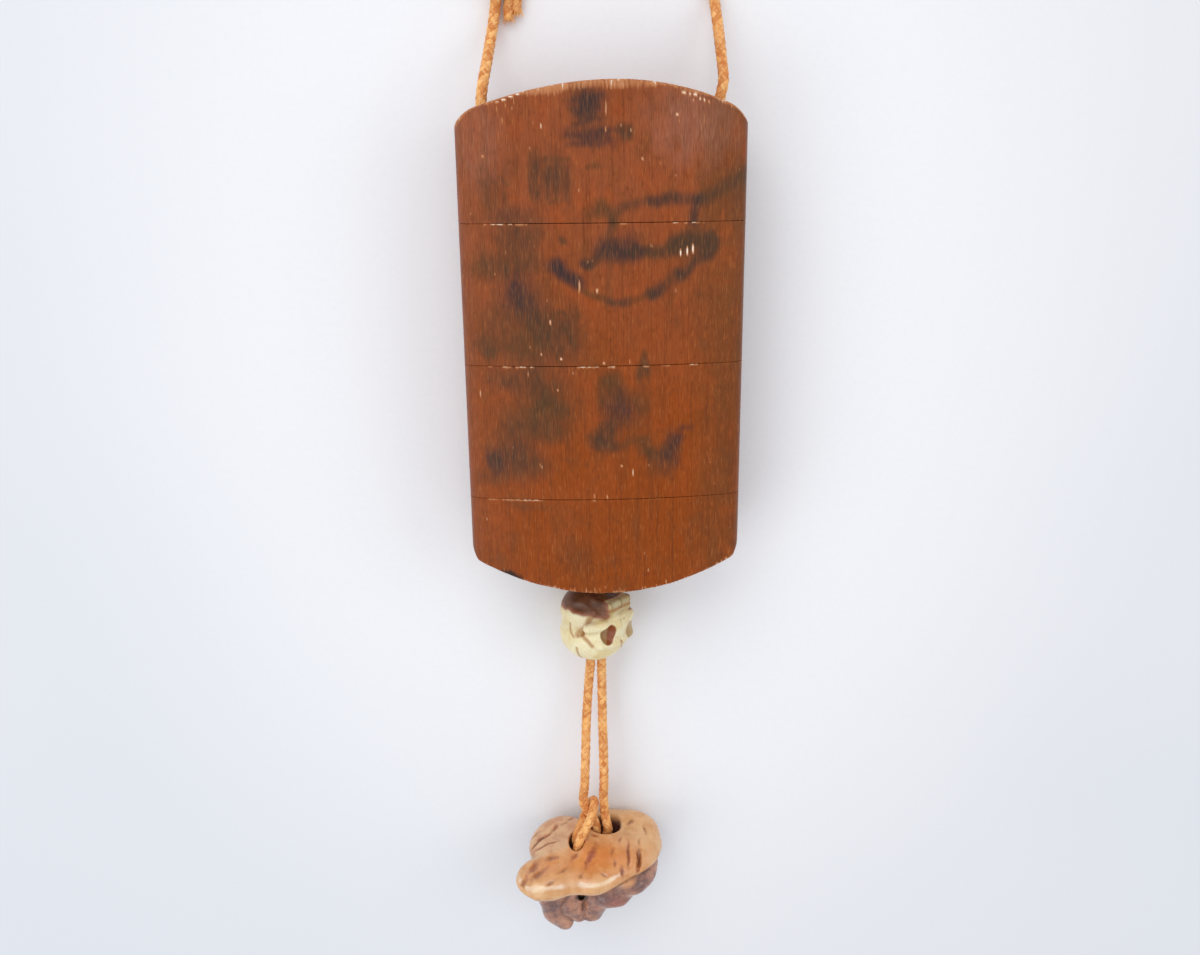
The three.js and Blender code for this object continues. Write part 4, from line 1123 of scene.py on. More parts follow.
def wood_material():
    g = Graph("lacquered_wood")
    top_left_sheen_tone, side_shade_tone = g.attr("top_left_sheen_tone"), g.attr("side_shade_tone")
    # base tone, pinker towards the top and left as painted sheen
    tone = g.mix(top_left_sheen_tone, srgb(140, 64, 10), srgb(144, 74, 40))
    # browner at the sides as painted shade
    tone = g.mix(g.span(side_shade_tone, 0.1, 0.95, 0.0, 0.85), tone, srgb(110, 64, 30))
    # grain: fine straight lines along Y, with soft lighter and darker bands
    line = g.noise((0.26, 24.0, 0.26), (3, 1, 7), 1.0, 0.5)
    fine = g.noise((0.17, 2.2, 0.17), (13, 5, 2), 1.0, 0.5)
    band = g.noise((1.9, 40.0, 1.9), (5, 9, 1), 2.0, 0.6)
    blotch = g.noise((5.0, 8.0, 5.0), (2, 4, 6), 3.0, 0.6)
    mottle = g.noise((0.9, 1.7, 0.9), (6, 2, 4), 2.0, 0.6)
    tone = g.mix(g.span(band, 0.5, 0.74, 0.0, 0.42), tone, srgb(112, 54, 20))
    tone = g.mix(g.span(blotch, 0.5, 0.72, 0.0, 0.4), tone, srgb(158, 72, 22))
    tone = g.mix(g.span(blotch, 0.48, 0.28, 0.0, 0.45), tone, srgb(104, 62, 32))
    tone = g.mix(g.span(mottle, 0.46, 0.26, 0.0, 0.42), tone, srgb(104, 50, 18))
    tone = g.mix(g.span(mottle, 0.54, 0.74, 0.0, 0.22), tone, srgb(174, 88, 36))
    tone = g.mix(g.span(line, 0.46, 0.3, 0.0, 0.36), tone, srgb(92, 42, 16))
    tone = g.mix(g.span(fine, 0.55, 0.8, 0.0, 0.4), tone, srgb(184, 110, 58))
    tone = g.mix(g.span(fine, 0.44, 0.26, 0.0, 0.3), tone, srgb(98, 46, 18))
    # painted sheen: pinkish grey where the front would catch the lamps' reflection
    tone = g.mix(g.math("MULTIPLY", g.attr("painted_sheen"), g.span(fine, 0.3, 0.7, 0.16, 0.36)), tone, srgb(160, 116, 100))
    # pores: short dark dashes
    pore = g.cells((0.62, 3.4, 0.62), (1, 2, 3))
    tone = g.mix(g.span(pore, 0.2, 0.08, 0.0, 0.35), tone, srgb(78, 36, 14))
    # old ink, held back a little on the raised grain
    ink = g.attr("ink")
    held = g.math("MULTIPLY", ink, g.span(fine, 0.3, 0.7, 1.04, 0.84))
    held = g.math("MINIMUM", held, 1.0)
    inked = g.mix(g.attr("cold"), srgb(80, 56, 30), srgb(58, 42, 42))
    inked = g.mix(g.span(fine, 0.5, 0.78, 0.0, 0.35), inked, srgb(132, 98, 66))
    tone = g.mix(held, tone, inked)
    # worn and chipped places, and painted glints near the top edge: tan first, then nearly white
    wear_and_glint = g.attr("wear_and_glint")
    tone = g.mix(g.math("MULTIPLY", g.span(wear_and_glint, 0.04, 0.45), g.span(fine, 0.25, 0.6, 0.6, 1.0)), tone, srgb(190, 126, 82))
    tone = g.mix(g.span(wear_and_glint, 0.45, 1.0), tone, g.mix(g.span(fine, 0.35, 0.6), srgb(226, 194, 160), srgb(252, 244, 232)))
    tone = g.mix(g.attr("soot"), tone, srgb(58, 36, 26))
    # stray light specks in the grain
    speck = g.cells((2.3, 5.5, 2.3), (9, 4, 3))
    speck = g.math("MULTIPLY", g.span(speck, 0.085, 0.05), g.span(g.noise((6, 9, 6), (7, 7, 1)), 0.5, 0.62))
    tone = g.mix(g.math("MULTIPLY", speck, 0.5), tone, srgb(206, 156, 116))
    rough = g.span(g.math("ADD", line, g.noise((3, 8, 3), (8, 1, 4), 3.0)), 0.75, 1.3, 0.32, 0.46, "LINEAR")
    height = g.math("ADD", g.math("MULTIPLY", line, 0.3), g.math("MULTIPLY", fine, 0.5))
    g.set(Base_Color=tone, Roughness=rough, Normal=g.bump(height, 0.03, 0.7))
    g.set(Specular_IOR_Level=0.14)
    return g.material


def silk_material():
    g = Graph("silk_cord")
    height, tone, fibre = g.attr("height"), g.attr("tone"), g.attr("fibre")
    dirt = g.noise((4, 4, 4), (4, 4, 9), 3.0)
    colour = g.mix(g.span(tone, -1.0, 1.0), srgb(206, 126, 62), srgb(246, 184, 112))
    colour = g.mix(g.span(fibre, -0.2, 1.0, 0.0, 0.6), colour, srgb(255, 208, 144))
    colour = g.mix(g.span(fibre, -0.3, -1.0, 0.0, 0.4), colour, srgb(196, 110, 52))
    # painted shade: darker between the strands, where the braid lies low
    colour = g.mix(g.span(height, 0.55, 0.1, 0.0, 0.85), colour, srgb(158, 84, 36))
    colour = g.mix(g.span(dirt, 0.45, 0.75, 0.0, 0.4), colour, srgb(204, 122, 62))
    hair = g.noise((0.07, 0.07, 0.07), (1, 5, 9), 1.0)
    g.set(Base_Color=colour, Roughness=g.span(hair, 0.3, 0.7, 0.5, 0.72), Normal=g.bump(hair, 0.03, 0.5))
    g.set(Sheen_Weight=0.12, Sheen_Roughness=0.4, Sheen_Tint=srgb(250, 214, 176), Specular_IOR_Level=0.25)
    return g.material


WOOD, SILK = wood_material(), silk_material()


# ---------- carved pieces: solids described by a signed distance, then meshed ----------
def ell(p, c, r):
    q = p - np.asarray(c, float) + 1e-6
    r = np.asarray(r, float)
    k0 = np.linalg.norm(q / r, axis=1)
    k1 = np.linalg.norm(q / (r * r), axis=1)
    return k0 * (k0 - 1) / k1


def rod(p, a, b, ra, rb):
    a, b = np.asarray(a, float), np.asarray(b, float)
    ab = b - a
    t = np.clip(((p - a) @ ab) / (ab @ ab), 0, 1)
    return np.linalg.norm(p - a - t[:, None] * ab, axis=1) - (ra + (rb - ra) * t)


def block(p, c, half, r):
    q = np.abs(p - np.asarray(c, float)) - (np.asarray(half, float) - r)
    return np.linalg.norm(np.maximum(q, 0), axis=1) + np.minimum(q.max(1), 0) - r


def plate(p, c, ru, rv, h, k, lean=(0.0, 0.0)):
    """A flattened lobe with a rounded rim; lean is how much its middle plane rises per millimetre in each direction."""
    q = p - np.asarray(c, float)
    e = (np.sqrt((q[:, 0] / ru) ** 2 + (q[:, 1] / rv) ** 2 + 1e-9) - 1) * min(ru, rv)
    w = q[:, 2] - lean[0] * q[:, 0] - lean[1] * q[:, 1]
    return smax(e, np.abs(w) - h, k)


def smin(a, b, k):
    h = np.clip(0.5 + 0.5 * (b - a) / k, 0, 1)
    return b + (a - b) * h - k * h * (1 - h)


def smax(a, b, k):
    return -smin(-a, -b, k)


def chain(p, knots, k=0.8):
    out = None
    for a, b in zip(knots, knots[1:]):
        d = rod(p, a[:3], b[:3], a[3], b[3])
        out = d if out is None else smin(out, d, k)
    return out


def slope(field, p, h=0.04):
    g = np.empty_like(p)
    for k in range(3):
        e = np.zeros(3)
        e[k] = h
        g[:, k] = (field(p + e) - field(p - e)) / (2 * h)
    return g


def onto(field, p, rounds=12, most=0.5):
    """Points moved onto the field's zero surface."""
    p = np.array(p, float)
    for _ in range(rounds):
        g = slope(field, p)
        d = field(p)
        move = d[:, None] * g / np.maximum((g * g).sum(1), 0.2)[:, None]
        size = np.linalg.norm(move, axis=1)
        p = p - move * np.minimum(1, most / np.maximum(size, 1e-9))[:, None]
    return p


def carve(field, lo, hi, step):
    """Surface net of the field's zero surface: points and outward quads."""
    lo, hi = np.asarray(lo, float), np.asarray(hi, float)
    n = np.ceil((hi - lo) / step).astype(int) + 1
    axes = [lo[k] + step * np.arange(n[k]) for k in range(3)]
    values = np.empty(tuple(n), np.float32)
    yz = np.stack(np.meshgrid(axes[1], axes[2], indexing="ij"), -1).reshape(-1, 2)
    per = max(1, 250000 // len(yz))
    for k in range(0, n[0], per):
        xs = axes[0][k : k + per]
        p = np.concatenate([np.column_stack([np.full(len(yz), x), yz]) for x in xs])
        values[k : k + per] = field(p).reshape(len(xs), n[1], n[2])
    inside = values < 0
    cells = n - 1
    strides = np.array([cells[1] * cells[2], cells[2], 1])
    size = int(np.prod(cells))
    total, count, faces = np.zeros((3, size)), np.zeros(size), []
    for a in range(3):
        u, v = (a + 1) % 3, (a + 2) % 3
        low = [slice(None)] * 3
        high = [slice(None)] * 3
        low[a], high[a] = slice(None, -1), slice(1, None)
        at = np.argwhere(inside[tuple(low)] != inside[tuple(high)])
        end = at.copy()
        end[:, a] += 1
        f0, f1 = values[tuple(at.T)], values[tuple(end.T)]
        where = at.astype(float)
        where[:, a] += f0 / (f0 - f1)
        corner = []
        for du, dv in ((0, 0), (-1, 0), (-1, -1), (0, -1)):
            c = at.copy()
            c[:, u] += du
            c[:, v] += dv
            cid = c @ strides
            corner.append(cid)
            count += np.bincount(cid, minlength=size)
            for k in range(3):
                total[k] += np.bincount(cid, weights=where[:, k], minlength=size)
        quad = np.stack(corner, 1)
        faces.append(np.where((f0 < 0)[:, None], quad, quad[:, ::-1]))
    used = np.flatnonzero(count)
    name = np.full(size, -1)
    name[used] = np.arange(len(used))
    pts = lo + step * (total[:, used] / count[used]).T
    quads = name[np.concatenate(faces)]
    # only the largest connected surface stays
    label = np.arange(len(pts))
    while True:
        best = label[quads].min(1)
        new = label.copy()
        for k in range(4):
            np.minimum.at(new, quads[:, k], best)
        new = new[new]
        if (new == label).all():
            break
        label = new
    main = np.bincount(label).argmax()
    keep = label == main
    quads = quads[keep[quads[:, 0]]]
    index = np.cumsum(keep) - 1
    return onto(field, pts[keep], 2, 0.5 * step), index[quads]


def hollows(points, quads, normals, rounds):
    """How concave the surface is round each point, averaged over a few steps of the mesh."""
    i = quads.ravel()
    j = np.roll(quads, -1, 1).ravel()
    a, b = np.concatenate([i, j]), np.concatenate([j, i])
    count = np.bincount(a, minlength=len(points)).astype(float)
    q = points.copy()
    for _ in range(rounds):
        q = np.stack([np.bincount(a, weights=q[b, k], minlength=len(points)) for k in range(3)], 1) / count[:, None]
    return ((q - points) * normals).sum(1)


# ---------- the skull bead ----------
FACE = BEAD_FACE_TURN * RAD
SKULL_UP = np.array([0.0, -1.0, 0.0])
SKULL_FRONT = np.array([math.sin(FACE), 0.0, math.cos(FACE)])
SKULL_RIGHT = np.cross(SKULL_UP, SKULL_FRONT)
SKULL_BASIS = np.stack([SKULL_RIGHT, SKULL_UP, SKULL_FRONT])  # rows; its own frame to the set's: q @ basis


def skull_bone(q):
    x = np.abs(q[:, 0])
    m = np.column_stack([x, q[:, 1], q[:, 2]])
    f = ell(q, (0, 1.4, -0.4), (8.0, 6.75, 7.7))
    f = smin(f, ell(q, (0, -2.5, 3.1), (5.9, 4.5, 5.0)), 1.1)
    f = smin(f, rod(m, (0.9, 2.3, 7.0), (5.0, 2.3, 5.7), 0.7, 0.8), 0.9)  # brow
    f = smin(f, rod(m, (4.2, -2.8, 6.3), (6.9, -2.1, 3.5), 1.15, 1.05), 0.9)  # cheekbone
    f = smin(f, ell(q, (0, -3.5, -1.5), (6.9, 5.7, 6.7)), 0.9)  # base
    f = smin(f, rod(q, (-5.0, -2.0, 4.9), (-4.9, 2.3, 4.9), 1.3, 1.3), 1.2)  # outer rim of the far eye
    jaw = block(q, (0, -6.2, 3.8), (3.9, 1.85, 3.7), 1.0)
    jaw = smin(jaw, block(q, (0, -6.6, 6.0), (3.5, 1.4, 1.65), 0.7), 0.3)
    f = smin(f, jaw, 0.5)
    f = smax(f, -ell(q, (3.75, -0.35, 8.2), (1.8, 2.45, 3.2)), 0.28)  # eyes
    f = smax(f, -ell(q, (-3.9, 1.1, 8.4), (1.7, 2.0, 2.3)), 0.4)
    f = smax(f, -ell(m, (8.7, 0.9, 5.2), (1.5, 2.1, 2.3)), 1.1)  # temple
    f = smax(f, -ell(m, (7.5, -6.2, 1.2), (2.2, 1.6, 3.6)), 0.6)  # under the cheekbone
    f = smax(f, -ell(q, (0, -10.2, -3.6), (4.6, 2.4, 3.8)), 0.8)  # behind the jaw
    f = smax(f, -rod(m, (0.5, -2.5, 8.5), (0.58, -3.4, 8.2), 0.36, 0.46), 0.25)  # nose
    return smax(f, -ell(m, (7.75, -0.6, 2.06), (1.5, 0.7, 0.66)), 0.2)  # ear


SKULL_LINES = [  # points in the skull's frame, half width
    ([(7.9, -0.35, 1.2), (6.9, -2.6, 2.4), (5.1, -4.9, 3.6)], 0.36, True),
    ([(7.6, 0.0, 2.8), (7.0, 1.1, 3.7), (6.4, 2.2, 4.3)], 0.2, True),
    ([(7.4, 2.85, 0.8), (6.4, 5.0, 0.5), (4.3, 6.9, 0.07)], 0.1, True),
    ([(0.2, 1.8, 7.8), (-0.6, 3.4, 7.3), (-1.9, 5.0, 6.1)], 0.08, False),
    ([(7.4, -2.2, -1.6), (7.5, -0.6, -0.9), (7.9, 0.4, 0.2)], 0.08, True),
    ([(0.0, 7.9, 1.2), (0.7, 7.6, -2.0), (-0.3, 6.3, -5.0), (0.2, 3.0, -7.4)], 0.09, False),
    ([(-3.6, -6.15, 7.3), (0, -6.25, 7.8), (3.6, -6.15, 7.3), (4.1, -6.1, 4.6)], 0.2, False),
]
skull_lines = []
for points, half, both in SKULL_LINES:
    dense = onto(skull_bone, spline(points, 16), 8)
    skull_lines.append((dense, half))
    if both:
        skull_lines.append((dense * (-1, 1, 1), half))


def line_distance(p, dense):
    best = np.full(len(p), 1e9)
    for a, b in zip(dense, dense[1:]):
        best = np.minimum(best, rod(p, a, b, 0, 0))
    return best


BORE_X = STRAND_SPACING / 2


def skull_field(world):
    q = (world - BEAD_CENTRE) @ SKULL_BASIS.T
    f = skull_bone(q)
    near = np.flatnonzero(np.abs(f) < 1.2)
    qn = q[near]
    d = np.zeros(len(near))
    for dense, half in skull_lines:
        lo, hi = dense.min(0) - 1, dense.max(0) + 1
        hit = ((qn > lo) & (qn < hi)).all(1)
        if hit.any():
            away = line_distance(qn[hit], dense)
            d[hit] = np.maximum(d[hit], 1.25 * half * smooth(1.9 * half, 0.3 * half, away))
    # slits between the teeth
    for x, deep in ((0.0, 0.34), (3.0, 0.3), (-3.0, 0.3)):
        band = smooth(0.34, 0.1, np.abs(qn[:, 0] - x - 0.06 * np.sin(qn[:, 1] * 3))) * (qn[:, 1] < -6.1) * (qn[:, 2] > 6.2)
        d = np.maximum(d, deep * band)
    d += 0.035 * fbm(qn, 2.4, 131, 2) + 0.012 * noise(qn, 0.5, 133) + 0.03
    f[near] += d
    dx = np.maximum(np.abs(world[:, 0] - BEAD_CENTRE[0]) - BORE_X, 0)
    bore = np.hypot(dx, world[:, 2] - BEAD_CENTRE[2]) - 1.36
    rim = np.abs((world[:, 1] - BEAD_CENTRE[1]) + 0.3) - 6.6
    bore -= 0.7 * smooth(0, 2.0, rim)
    f = smax(f, -bore, 0.3)
    return np.maximum(f, 0.02 - world[:, 2])


points, quads = carve(skull_field, np.array(BEAD_CENTRE) - (8.9, 9.3, 8.5), np.array(BEAD_CENTRE) + (9.3, 9.3, 9.3), 0.17)
g = slope(skull_field, points)
normals = g / np.linalg.norm(g, axis=1)[:, None]
q = (points - BEAD_CENTRE) @ SKULL_BASIS.T
x, y, z = q[:, 0], q[:, 1], q[:, 2]
hollow = hollows(points, quads, normals, 5)
wob = 0.7 * fbm(q, 2.2, 141, 3)
teeth = smooth(-5.9, -6.4, y) * smooth(5.4, 6.6, z + 0.25 * np.abs(x)) * smooth(4.0, 3.2, np.abs(x) + 0.3 * wob)
stain = smooth(-3.5, -5.7, y + 0.9 * wob - 0.08 * (points[:, 0] - BEAD_CENTRE[0])) * (1 - teeth) * smooth(8.0, 5.4, z + wob)
eye = np.maximum(
    smooth(0.28, 0.02, ell(q, (3.75, -0.35, 8.2), (1.86, 2.5, 3.3))), 0.7 * smooth(0.5, -0.1, ell(q, (-4.6, 1.1, 7.0), (1.9, 1.9, 1.9)))
)
ear = smooth(0.35, -0.25, ell(np.column_stack([np.abs(x), y, z]), (7.75, -0.6, 2.06), (1.8, 0.8, 0.8)))
lines = np.zeros(len(q))
for dense, half in skull_lines:
    lines = np.maximum(lines, smooth(2.6 * half + 0.25, 0.6 * half, line_distance(q, dense)))
crown = smooth(4.2, 2.2, np.hypot(points[:, 0] - BEAD_CENTRE[0], points[:, 2] - BEAD_CENTRE[2])) * smooth(-6.0, -7.2, points[:, 1] - BEAD_CENTRE[1])
bead = make_object(
    "skull_bead",
    points,
    quads,
    None,
    {
        "stain": np.clip(stain, 0, 1),
        "teeth": teeth,
        "eye": eye,
        "line": np.clip(np.maximum(lines, ear), 0, 1),
        "hollow": np.clip(hollow * 9, 0, 1),
        "crown": crown,
        "tan": np.maximum(smooth(2.7, 2.1, points[:, 0] - BEAD_CENTRE[0] + 0.1 * y), smooth(0.0, -0.5, x)),
        "olive": smooth(-4.0, -5.2, y + wob) * smooth(5.4, 6.4, z) * (1 - teeth),
    },
)
print("skull", len(quads), "faces")


# ---------- the toggle ----------
def toggle_local(world):
    s, c = math.sin(TOGGLE_TILT * RAD), math.cos(TOGGLE_TILT * RAD)
    d = world - np.asarray(TOGGLE_CENTRE)
    return np.column_stack([d[:, 0], -d[:, 1] * s + d[:, 2] * c, d[:, 1] * c + d[:, 2] * s])


TOGGLE_STEMS = [
    [(-3, 3, -3, 4.0), (-9.0, 6.2, -6.8, 3.4), (-8.0, 7.0, -10.8, 3.0), (-5.8, 8.0, -13.9, 2.2)],
    [(-2, 4, -4, 3.6), (-4.6, 7.6, -8.6, 2.4), (-2.6, 7.7, -12.0, 2.1)],
    [(1, 3, -4, 3.8), (1.8, 5.8, -8.5, 3.2), (0.2, 6.4, -12.2, 3.0)],
    [(1, -4, -2, 4.6), (1.8, -6.2, -7.0, 3.5), (-2.0, -6.6, -10.6, 3.1), (-5.0, -5.4, -11.4, 2.7)],
    [(-7, 1, -2.5, 3.6), (-8.6, -1.5, -6.4, 2.9), (-6.6, -3.6, -10.0, 2.4)],
    [(8, -4, -4, 4.0), (7.2, -5.6, -8.4, 2.9), (3.6, -5.2, -11.4, 2.4)],
]
GAP = [  # the dark gap under the front lip
    (-5.4, 9.0, -3.2, 0.7), (-2.6, 10.0, -3.1, 1.25), (0.6, 10.3, -3.0, 1.3), (3.4, 9.8, -2.9, 0.8),
]
GAP_RIGHT = [  # and on round the right side
    (13.6, 3.4, -2.2, 0.5), (15.3, 0.6, -2.1, 0.62), (16.6, -3.2, -1.7, 0.7), (16.3, -7.0, -1.5, 0.5),
]


def toggle_body(p):
    right = plate(p, (6.4, -2.4, 0.35), 11.5, 10.3, 3.15, 4.6, (0.01, 0.02))
    middle = plate(p, (0.4, 2.0, -0.1), 8.9, 10.0, 3.3, 5.0, (0.0, -0.01))
    fore = plate(p, (-11.1, 6.7, -0.6), 6.2, 5.8, 3.0, 4.8, (-0.02, -0.05))
    between = plate(p, (-6.5, 5.8, -0.1), 6.0, 6.2, 3.05, 4.6)
    back = plate(p, (-6.2, -2.0, 0.2), 8.2, 8.9, 3.0, 4.4, (0.03, 0.0))
    corner = plate(p, (11.3, -6.4, 0.35), 5.7, 5.0, 3.1, 4.4, (0.01, 0.02))
    cap = smin(smin(right, corner, 1.2), middle, 2.4)
    cap = smin(cap, smin(fore, between, 2.2), 1.5)
    cap = smin(cap, back, 0.45)
    # broad hollows and swells of the top
    top = smooth(0.5, 2.5, p[:, 2])
    swell = (
        0.55 * np.exp(-(((p[:, 0] - 4.5) / 6.5) ** 2 + ((p[:, 1] - 5.6) / 2.6) ** 2))
        + 0.5 * np.exp(-(((p[:, 0] + 11.0) / 4.2) ** 2 + ((p[:, 1] - 6.2) / 1.8) ** 2))
        + 0.5 * np.exp(-(((p[:, 0] - 9.5) / 3.6) ** 2 + ((p[:, 1] + 4.6) / 2.6) ** 2))
        + 0.45 * np.exp(-(((p[:, 0] + 8.0) / 3.2) ** 2 + ((p[:, 1] + 3.2) / 2.2) ** 2))
    )
    cap = cap + top * swell
    under = ell(p, (7.9, -1.0, -3.8), (8.9, 10.3, 4.3))
    under = smin(under, ell(p, (5.3, 3.2, -6.2), (6.1, 7.4, 4.2)), 0.8)
    f = smin(cap, under, 0.35)
    for knots in TOGGLE_STEMS:
        f = smin(f, chain(p, knots, 1.2), 0.55)
    return f


# Marks on the toggle's top: centre u and v, half length, half width, direction, depth, darkness, kind (0 brown, 1 purple).
TOGGLE_PITS = [
    (9.3, 3.4, 3.0, 0.42, 92, 0.4, 0.75, 0), (11.7, 4.4, 2.5, 0.55, 95, 0.85, 1.0, 0), (0.45, 4.0, 2.7, 0.8, 116, 0.22, 0.85, 1),
    (-3.2, 3.8, 1.3, 0.5, 116, 0.16, 0.75, 0), (1.5, -1.7, 0.9, 0.45, 20, 0.15, 0.6, 0), (10.3, -6.0, 1.0, 0.55, 150, 0.2, 0.6, 0),
    (7.7, 7.4, 0.9, 0.42, 105, 0.22, 0.8, 0), (-12.8, 5.7, 1.9, 0.85, 125, 0.2, 0.7, 1), (-11.8, 8.0, 2.2, 0.75, 140, 0.22, 0.7, 0),
    (-15.2, 9.3, 1.5, 0.75, 120, 0.2, 0.75, 0), (-8.5, 3.9, 1.7, 0.7, 165, 0.2, 0.65, 0), (-11.2, -2.2, 3.3, 0.42, 143, 0.42, 0.8, 0),
    (-10.2, -0.1, 2.9, 0.36, 160, 0.34, 0.7, 0), (-7.9, -5.3, 0.9, 0.45, 140, 0.3, 0.75, 0), (-5.6, -6.4, 1.4, 0.3, 150, 0.14, 0.5, 0),
    (-12.9, -4.0, 0.8, 0.35, 140, 0.2, 0.5, 0), (5.6, 3.0, 1.3, 0.5, 100, 0.1, 0.4, 0), (6.1, 6.0, 0.8, 0.35, 100, 0.12, 0.45, 0),
    (3.4, 8.6, 1.0, 0.35, 30, 0.12, 0.35, 0), (13.6, -3.4, 1.5, 0.35, 80, 0.16, 0.4, 0), (-6.0, 7.6, 1.4, 0.5, 150, 0.14, 0.5, 0),
    (-2.0, 8.8, 0.8, 0.5, 130, 0.12, 0.5, 0), (-9.0, 10.4, 1.1, 0.4, 150, 0.12, 0.45, 0), (7.6, -0.4, 0.9, 0.3, 110, 0.1, 0.4, 0),
    (12.0, 0.2, 1.1, 0.3, 100, 0.12, 0.4, 0), (-4.4, -7.6, 1.0, 0.35, 160, 0.16, 0.5, 0),
]


def pit_shape(p, k):
    u, v, long, wide, a, _, _, _ = TOGGLE_PITS[k]
    c, s = math.cos(a * RAD), math.sin(a * RAD)
    du, dv = p[:, 0] - u, p[:, 1] - v
    along, across = du * c + dv * s, -du * s + dv * c
    across = across + 0.09 * np.sin(along * 1.7 + k)
    return np.hypot(along / long, across / wide)


def toggle_field(world):
    p = toggle_local(world)
    f = toggle_body(p)
    near = np.flatnonzero(np.abs(f) < 1.6)
    pn = p[near]
    d = 0.05 + 0.10 * fbm(pn, (4.0, 3.2, 3.6), 151, 2) + 0.02 * noise(pn, (0.9, 0.7, 1.6), 153)
    below = smooth(-0.6, -3.0, pn[:, 2])
    d += below * (0.26 * noise(pn, (3.0, 2.7, 6.5), 155) + 0.06 * noise(pn, (1.5, 1.4, 3.0), 157) + 0.05)
    above = pn[:, 2] > 0.4
    for k, pit in enumerate(TOGGLE_PITS):
        d += np.where(above, pit[5] * smooth(1.45, 0.0, pit_shape(pn, k) + 0.2 * noise(pn, 0.9, 165)), 0)
    f[near] += d
    f = smax(f, -smin(chain(p, GAP, 0.6), chain(p, GAP_RIGHT, 0.6), 0.3), 0.3)
    f = smax(f, -rod(p, (-1.9, 10.2, -3.1), (-1.9, 6.6, -7.2), 0.95, 0.7), 0.3)  # the deep notch under the lip
    f = smax(f, -rod(p, (-4.2, 5.0, -12.0), (-6.4, 6.4, -8.6), 0.55, 0.75), 0.4)
    hole = np.hypot((p[:, 0] + 2.8) / 1.85, (p[:, 1] + 0.8) / 3.0)
    hole = smax((hole - 1) * 2.1, np.abs(p[:, 2] - 3.6) - 6.0, 1.4)
    f = smax(f, -hole, 0.55)
    hole = smin(ell(p, (4.0, -5.3, 2.2), (3.75, 3.1, 5.2)), ell(p, (5.4, -6.6, 4.0), (2.4, 2.6, 2.6)), 0.8)
    f = smax(f, -hole, 0.6)
    channel = smin(
        chain(p, [(-2.7, 0.5, -0.3, 1.45), (0.6, -1.5, -1.0, 1.45), (3.6, -4.2, -0.6, 1.45)]),
        chain(p, [(-2.8, -2.2, -0.2, 1.45), (-1.0, -3.6, -0.9, 1.45), (2.2, -5.0, -0.4, 1.45)]),
        0.6,
    )
    f = smax(f, -channel, 0.3)
    return np.maximum(f, 0.02 - world[:, 2])


lo = np.array(TOGGLE_CENTRE) - (18.2, 19.0, 12.5)
hi = np.array(TOGGLE_CENTRE) + (18.8, 8.5, 13.5)
points, quads = carve(toggle_field, lo, hi, 0.24)
g = slope(toggle_field, points)
normals = g / np.maximum(np.linalg.norm(g, axis=1), 1e-6)[:, None]
p = toggle_local(points)
local_up = toggle_local(points + normals) - p
pit, purple = np.zeros(len(p)), np.zeros(len(p))
for k, one in enumerate(TOGGLE_PITS):
    m = one[6] * smooth(1.75, 0.1, pit_shape(p, k) + 0.4 * noise(p, 0.8, 161) + 0.25 * noise(p, 0.4, 162)) * (p[:, 2] > 0.3)
    pit = np.maximum(pit, m)
    if one[7]:
        purple = np.maximum(purple, m)
wob = fbm(p, 3.0, 163, 3)
level = -0.5 - 1.5 * smooth(4.5, 7.5, p[:, 1]) * smooth(13, 9, p[:, 0])
under = smooth(0.7, -0.9, p[:, 2] + 0.5 * wob - level)
# painted shade: dark inside the cord hole and the large hollow in the top
inside = np.maximum(
    smooth(0.3, -0.4, np.hypot((p[:, 0] + 2.8) / 1.85, (p[:, 1] + 0.8) / 3.0) - 1) * smooth(3.4, 2.2, p[:, 2]),
    smooth(0.5, -0.6, ell(p, (4.3, -5.5, 1.6), (3.9, 3.2, 5.0))),
)
amber = np.exp(-(((p[:, 0] - 2.6) / 9.6) ** 2 + ((p[:, 1] - 4.6) / 5.0) ** 2)) + 0.55 * np.exp(
    -(((p[:, 0] + 11.0) / 4.5) ** 2 + ((p[:, 1] - 6.5) / 3.0) ** 2)
)
# painted highlight: a narrow whitish strip along the front lip where it turns down
lip_highlight_band = smooth(0.84, 0.72, local_up[:, 2]) * smooth(0.46, 0.64, local_up[:, 2]) * smooth(4.6, 7.0, p[:, 1] + 0.1 * p[:, 0])
painted_lip_highlight = lip_highlight_band * (0.75 + 0.5 * wob) * smooth(9.5, 5.5, p[:, 0]) * (0.25 + 0.75 * smooth(1.0, 2.4, np.abs(p[:, 0] + 4.2))) * smooth(0.35, 0.05, pit)
pink = smooth(-2.4, -5.6, p[:, 0] + 0.5 * p[:, 1]) * smooth(4.2, 2.2, p[:, 1] + 0.25 * p[:, 0] + 3) * (p[:, 2] > -0.5)
sight = 0.771 * p[:, 1] - 0.637 * p[:, 2]  # how far down the picture a point is
# painted shade: darker patches on the underside just below the cap, placed by how far down the picture they are
painted_under_shade = np.zeros(len(p))
for du, ds, ru, rs, much in ((9.5, 7.2, 5.5, 2.2, 0.85), (-8.1, 12.2, 1.9, 2.2, 1.0), (3.0, 10.8, 2.2, 1.3, 0.8), (2.4, 14.0, 1.2, 2.0, 0.5)):
    painted_under_shade = np.maximum(painted_under_shade, much * np.exp(-(((p[:, 0] - du) / ru) ** 2 + ((sight - ds) / rs) ** 2)))
blush = np.exp(-(((p[:, 0] - 7.2) / 3.2) ** 2 + ((sight - 11.9) / 1.2) ** 2))
# painted shadow: a dark patch in the gap under the front lip
gap = smooth(1.25, 0.6, np.hypot((p[:, 0] + 1.7) / 1.7, (0.771 * p[:, 1] - 0.637 * p[:, 2] - 9.95) / 0.8)) * under * (p[:, 2] < -2.0)
hollow = hollows(points, quads, normals, 6)
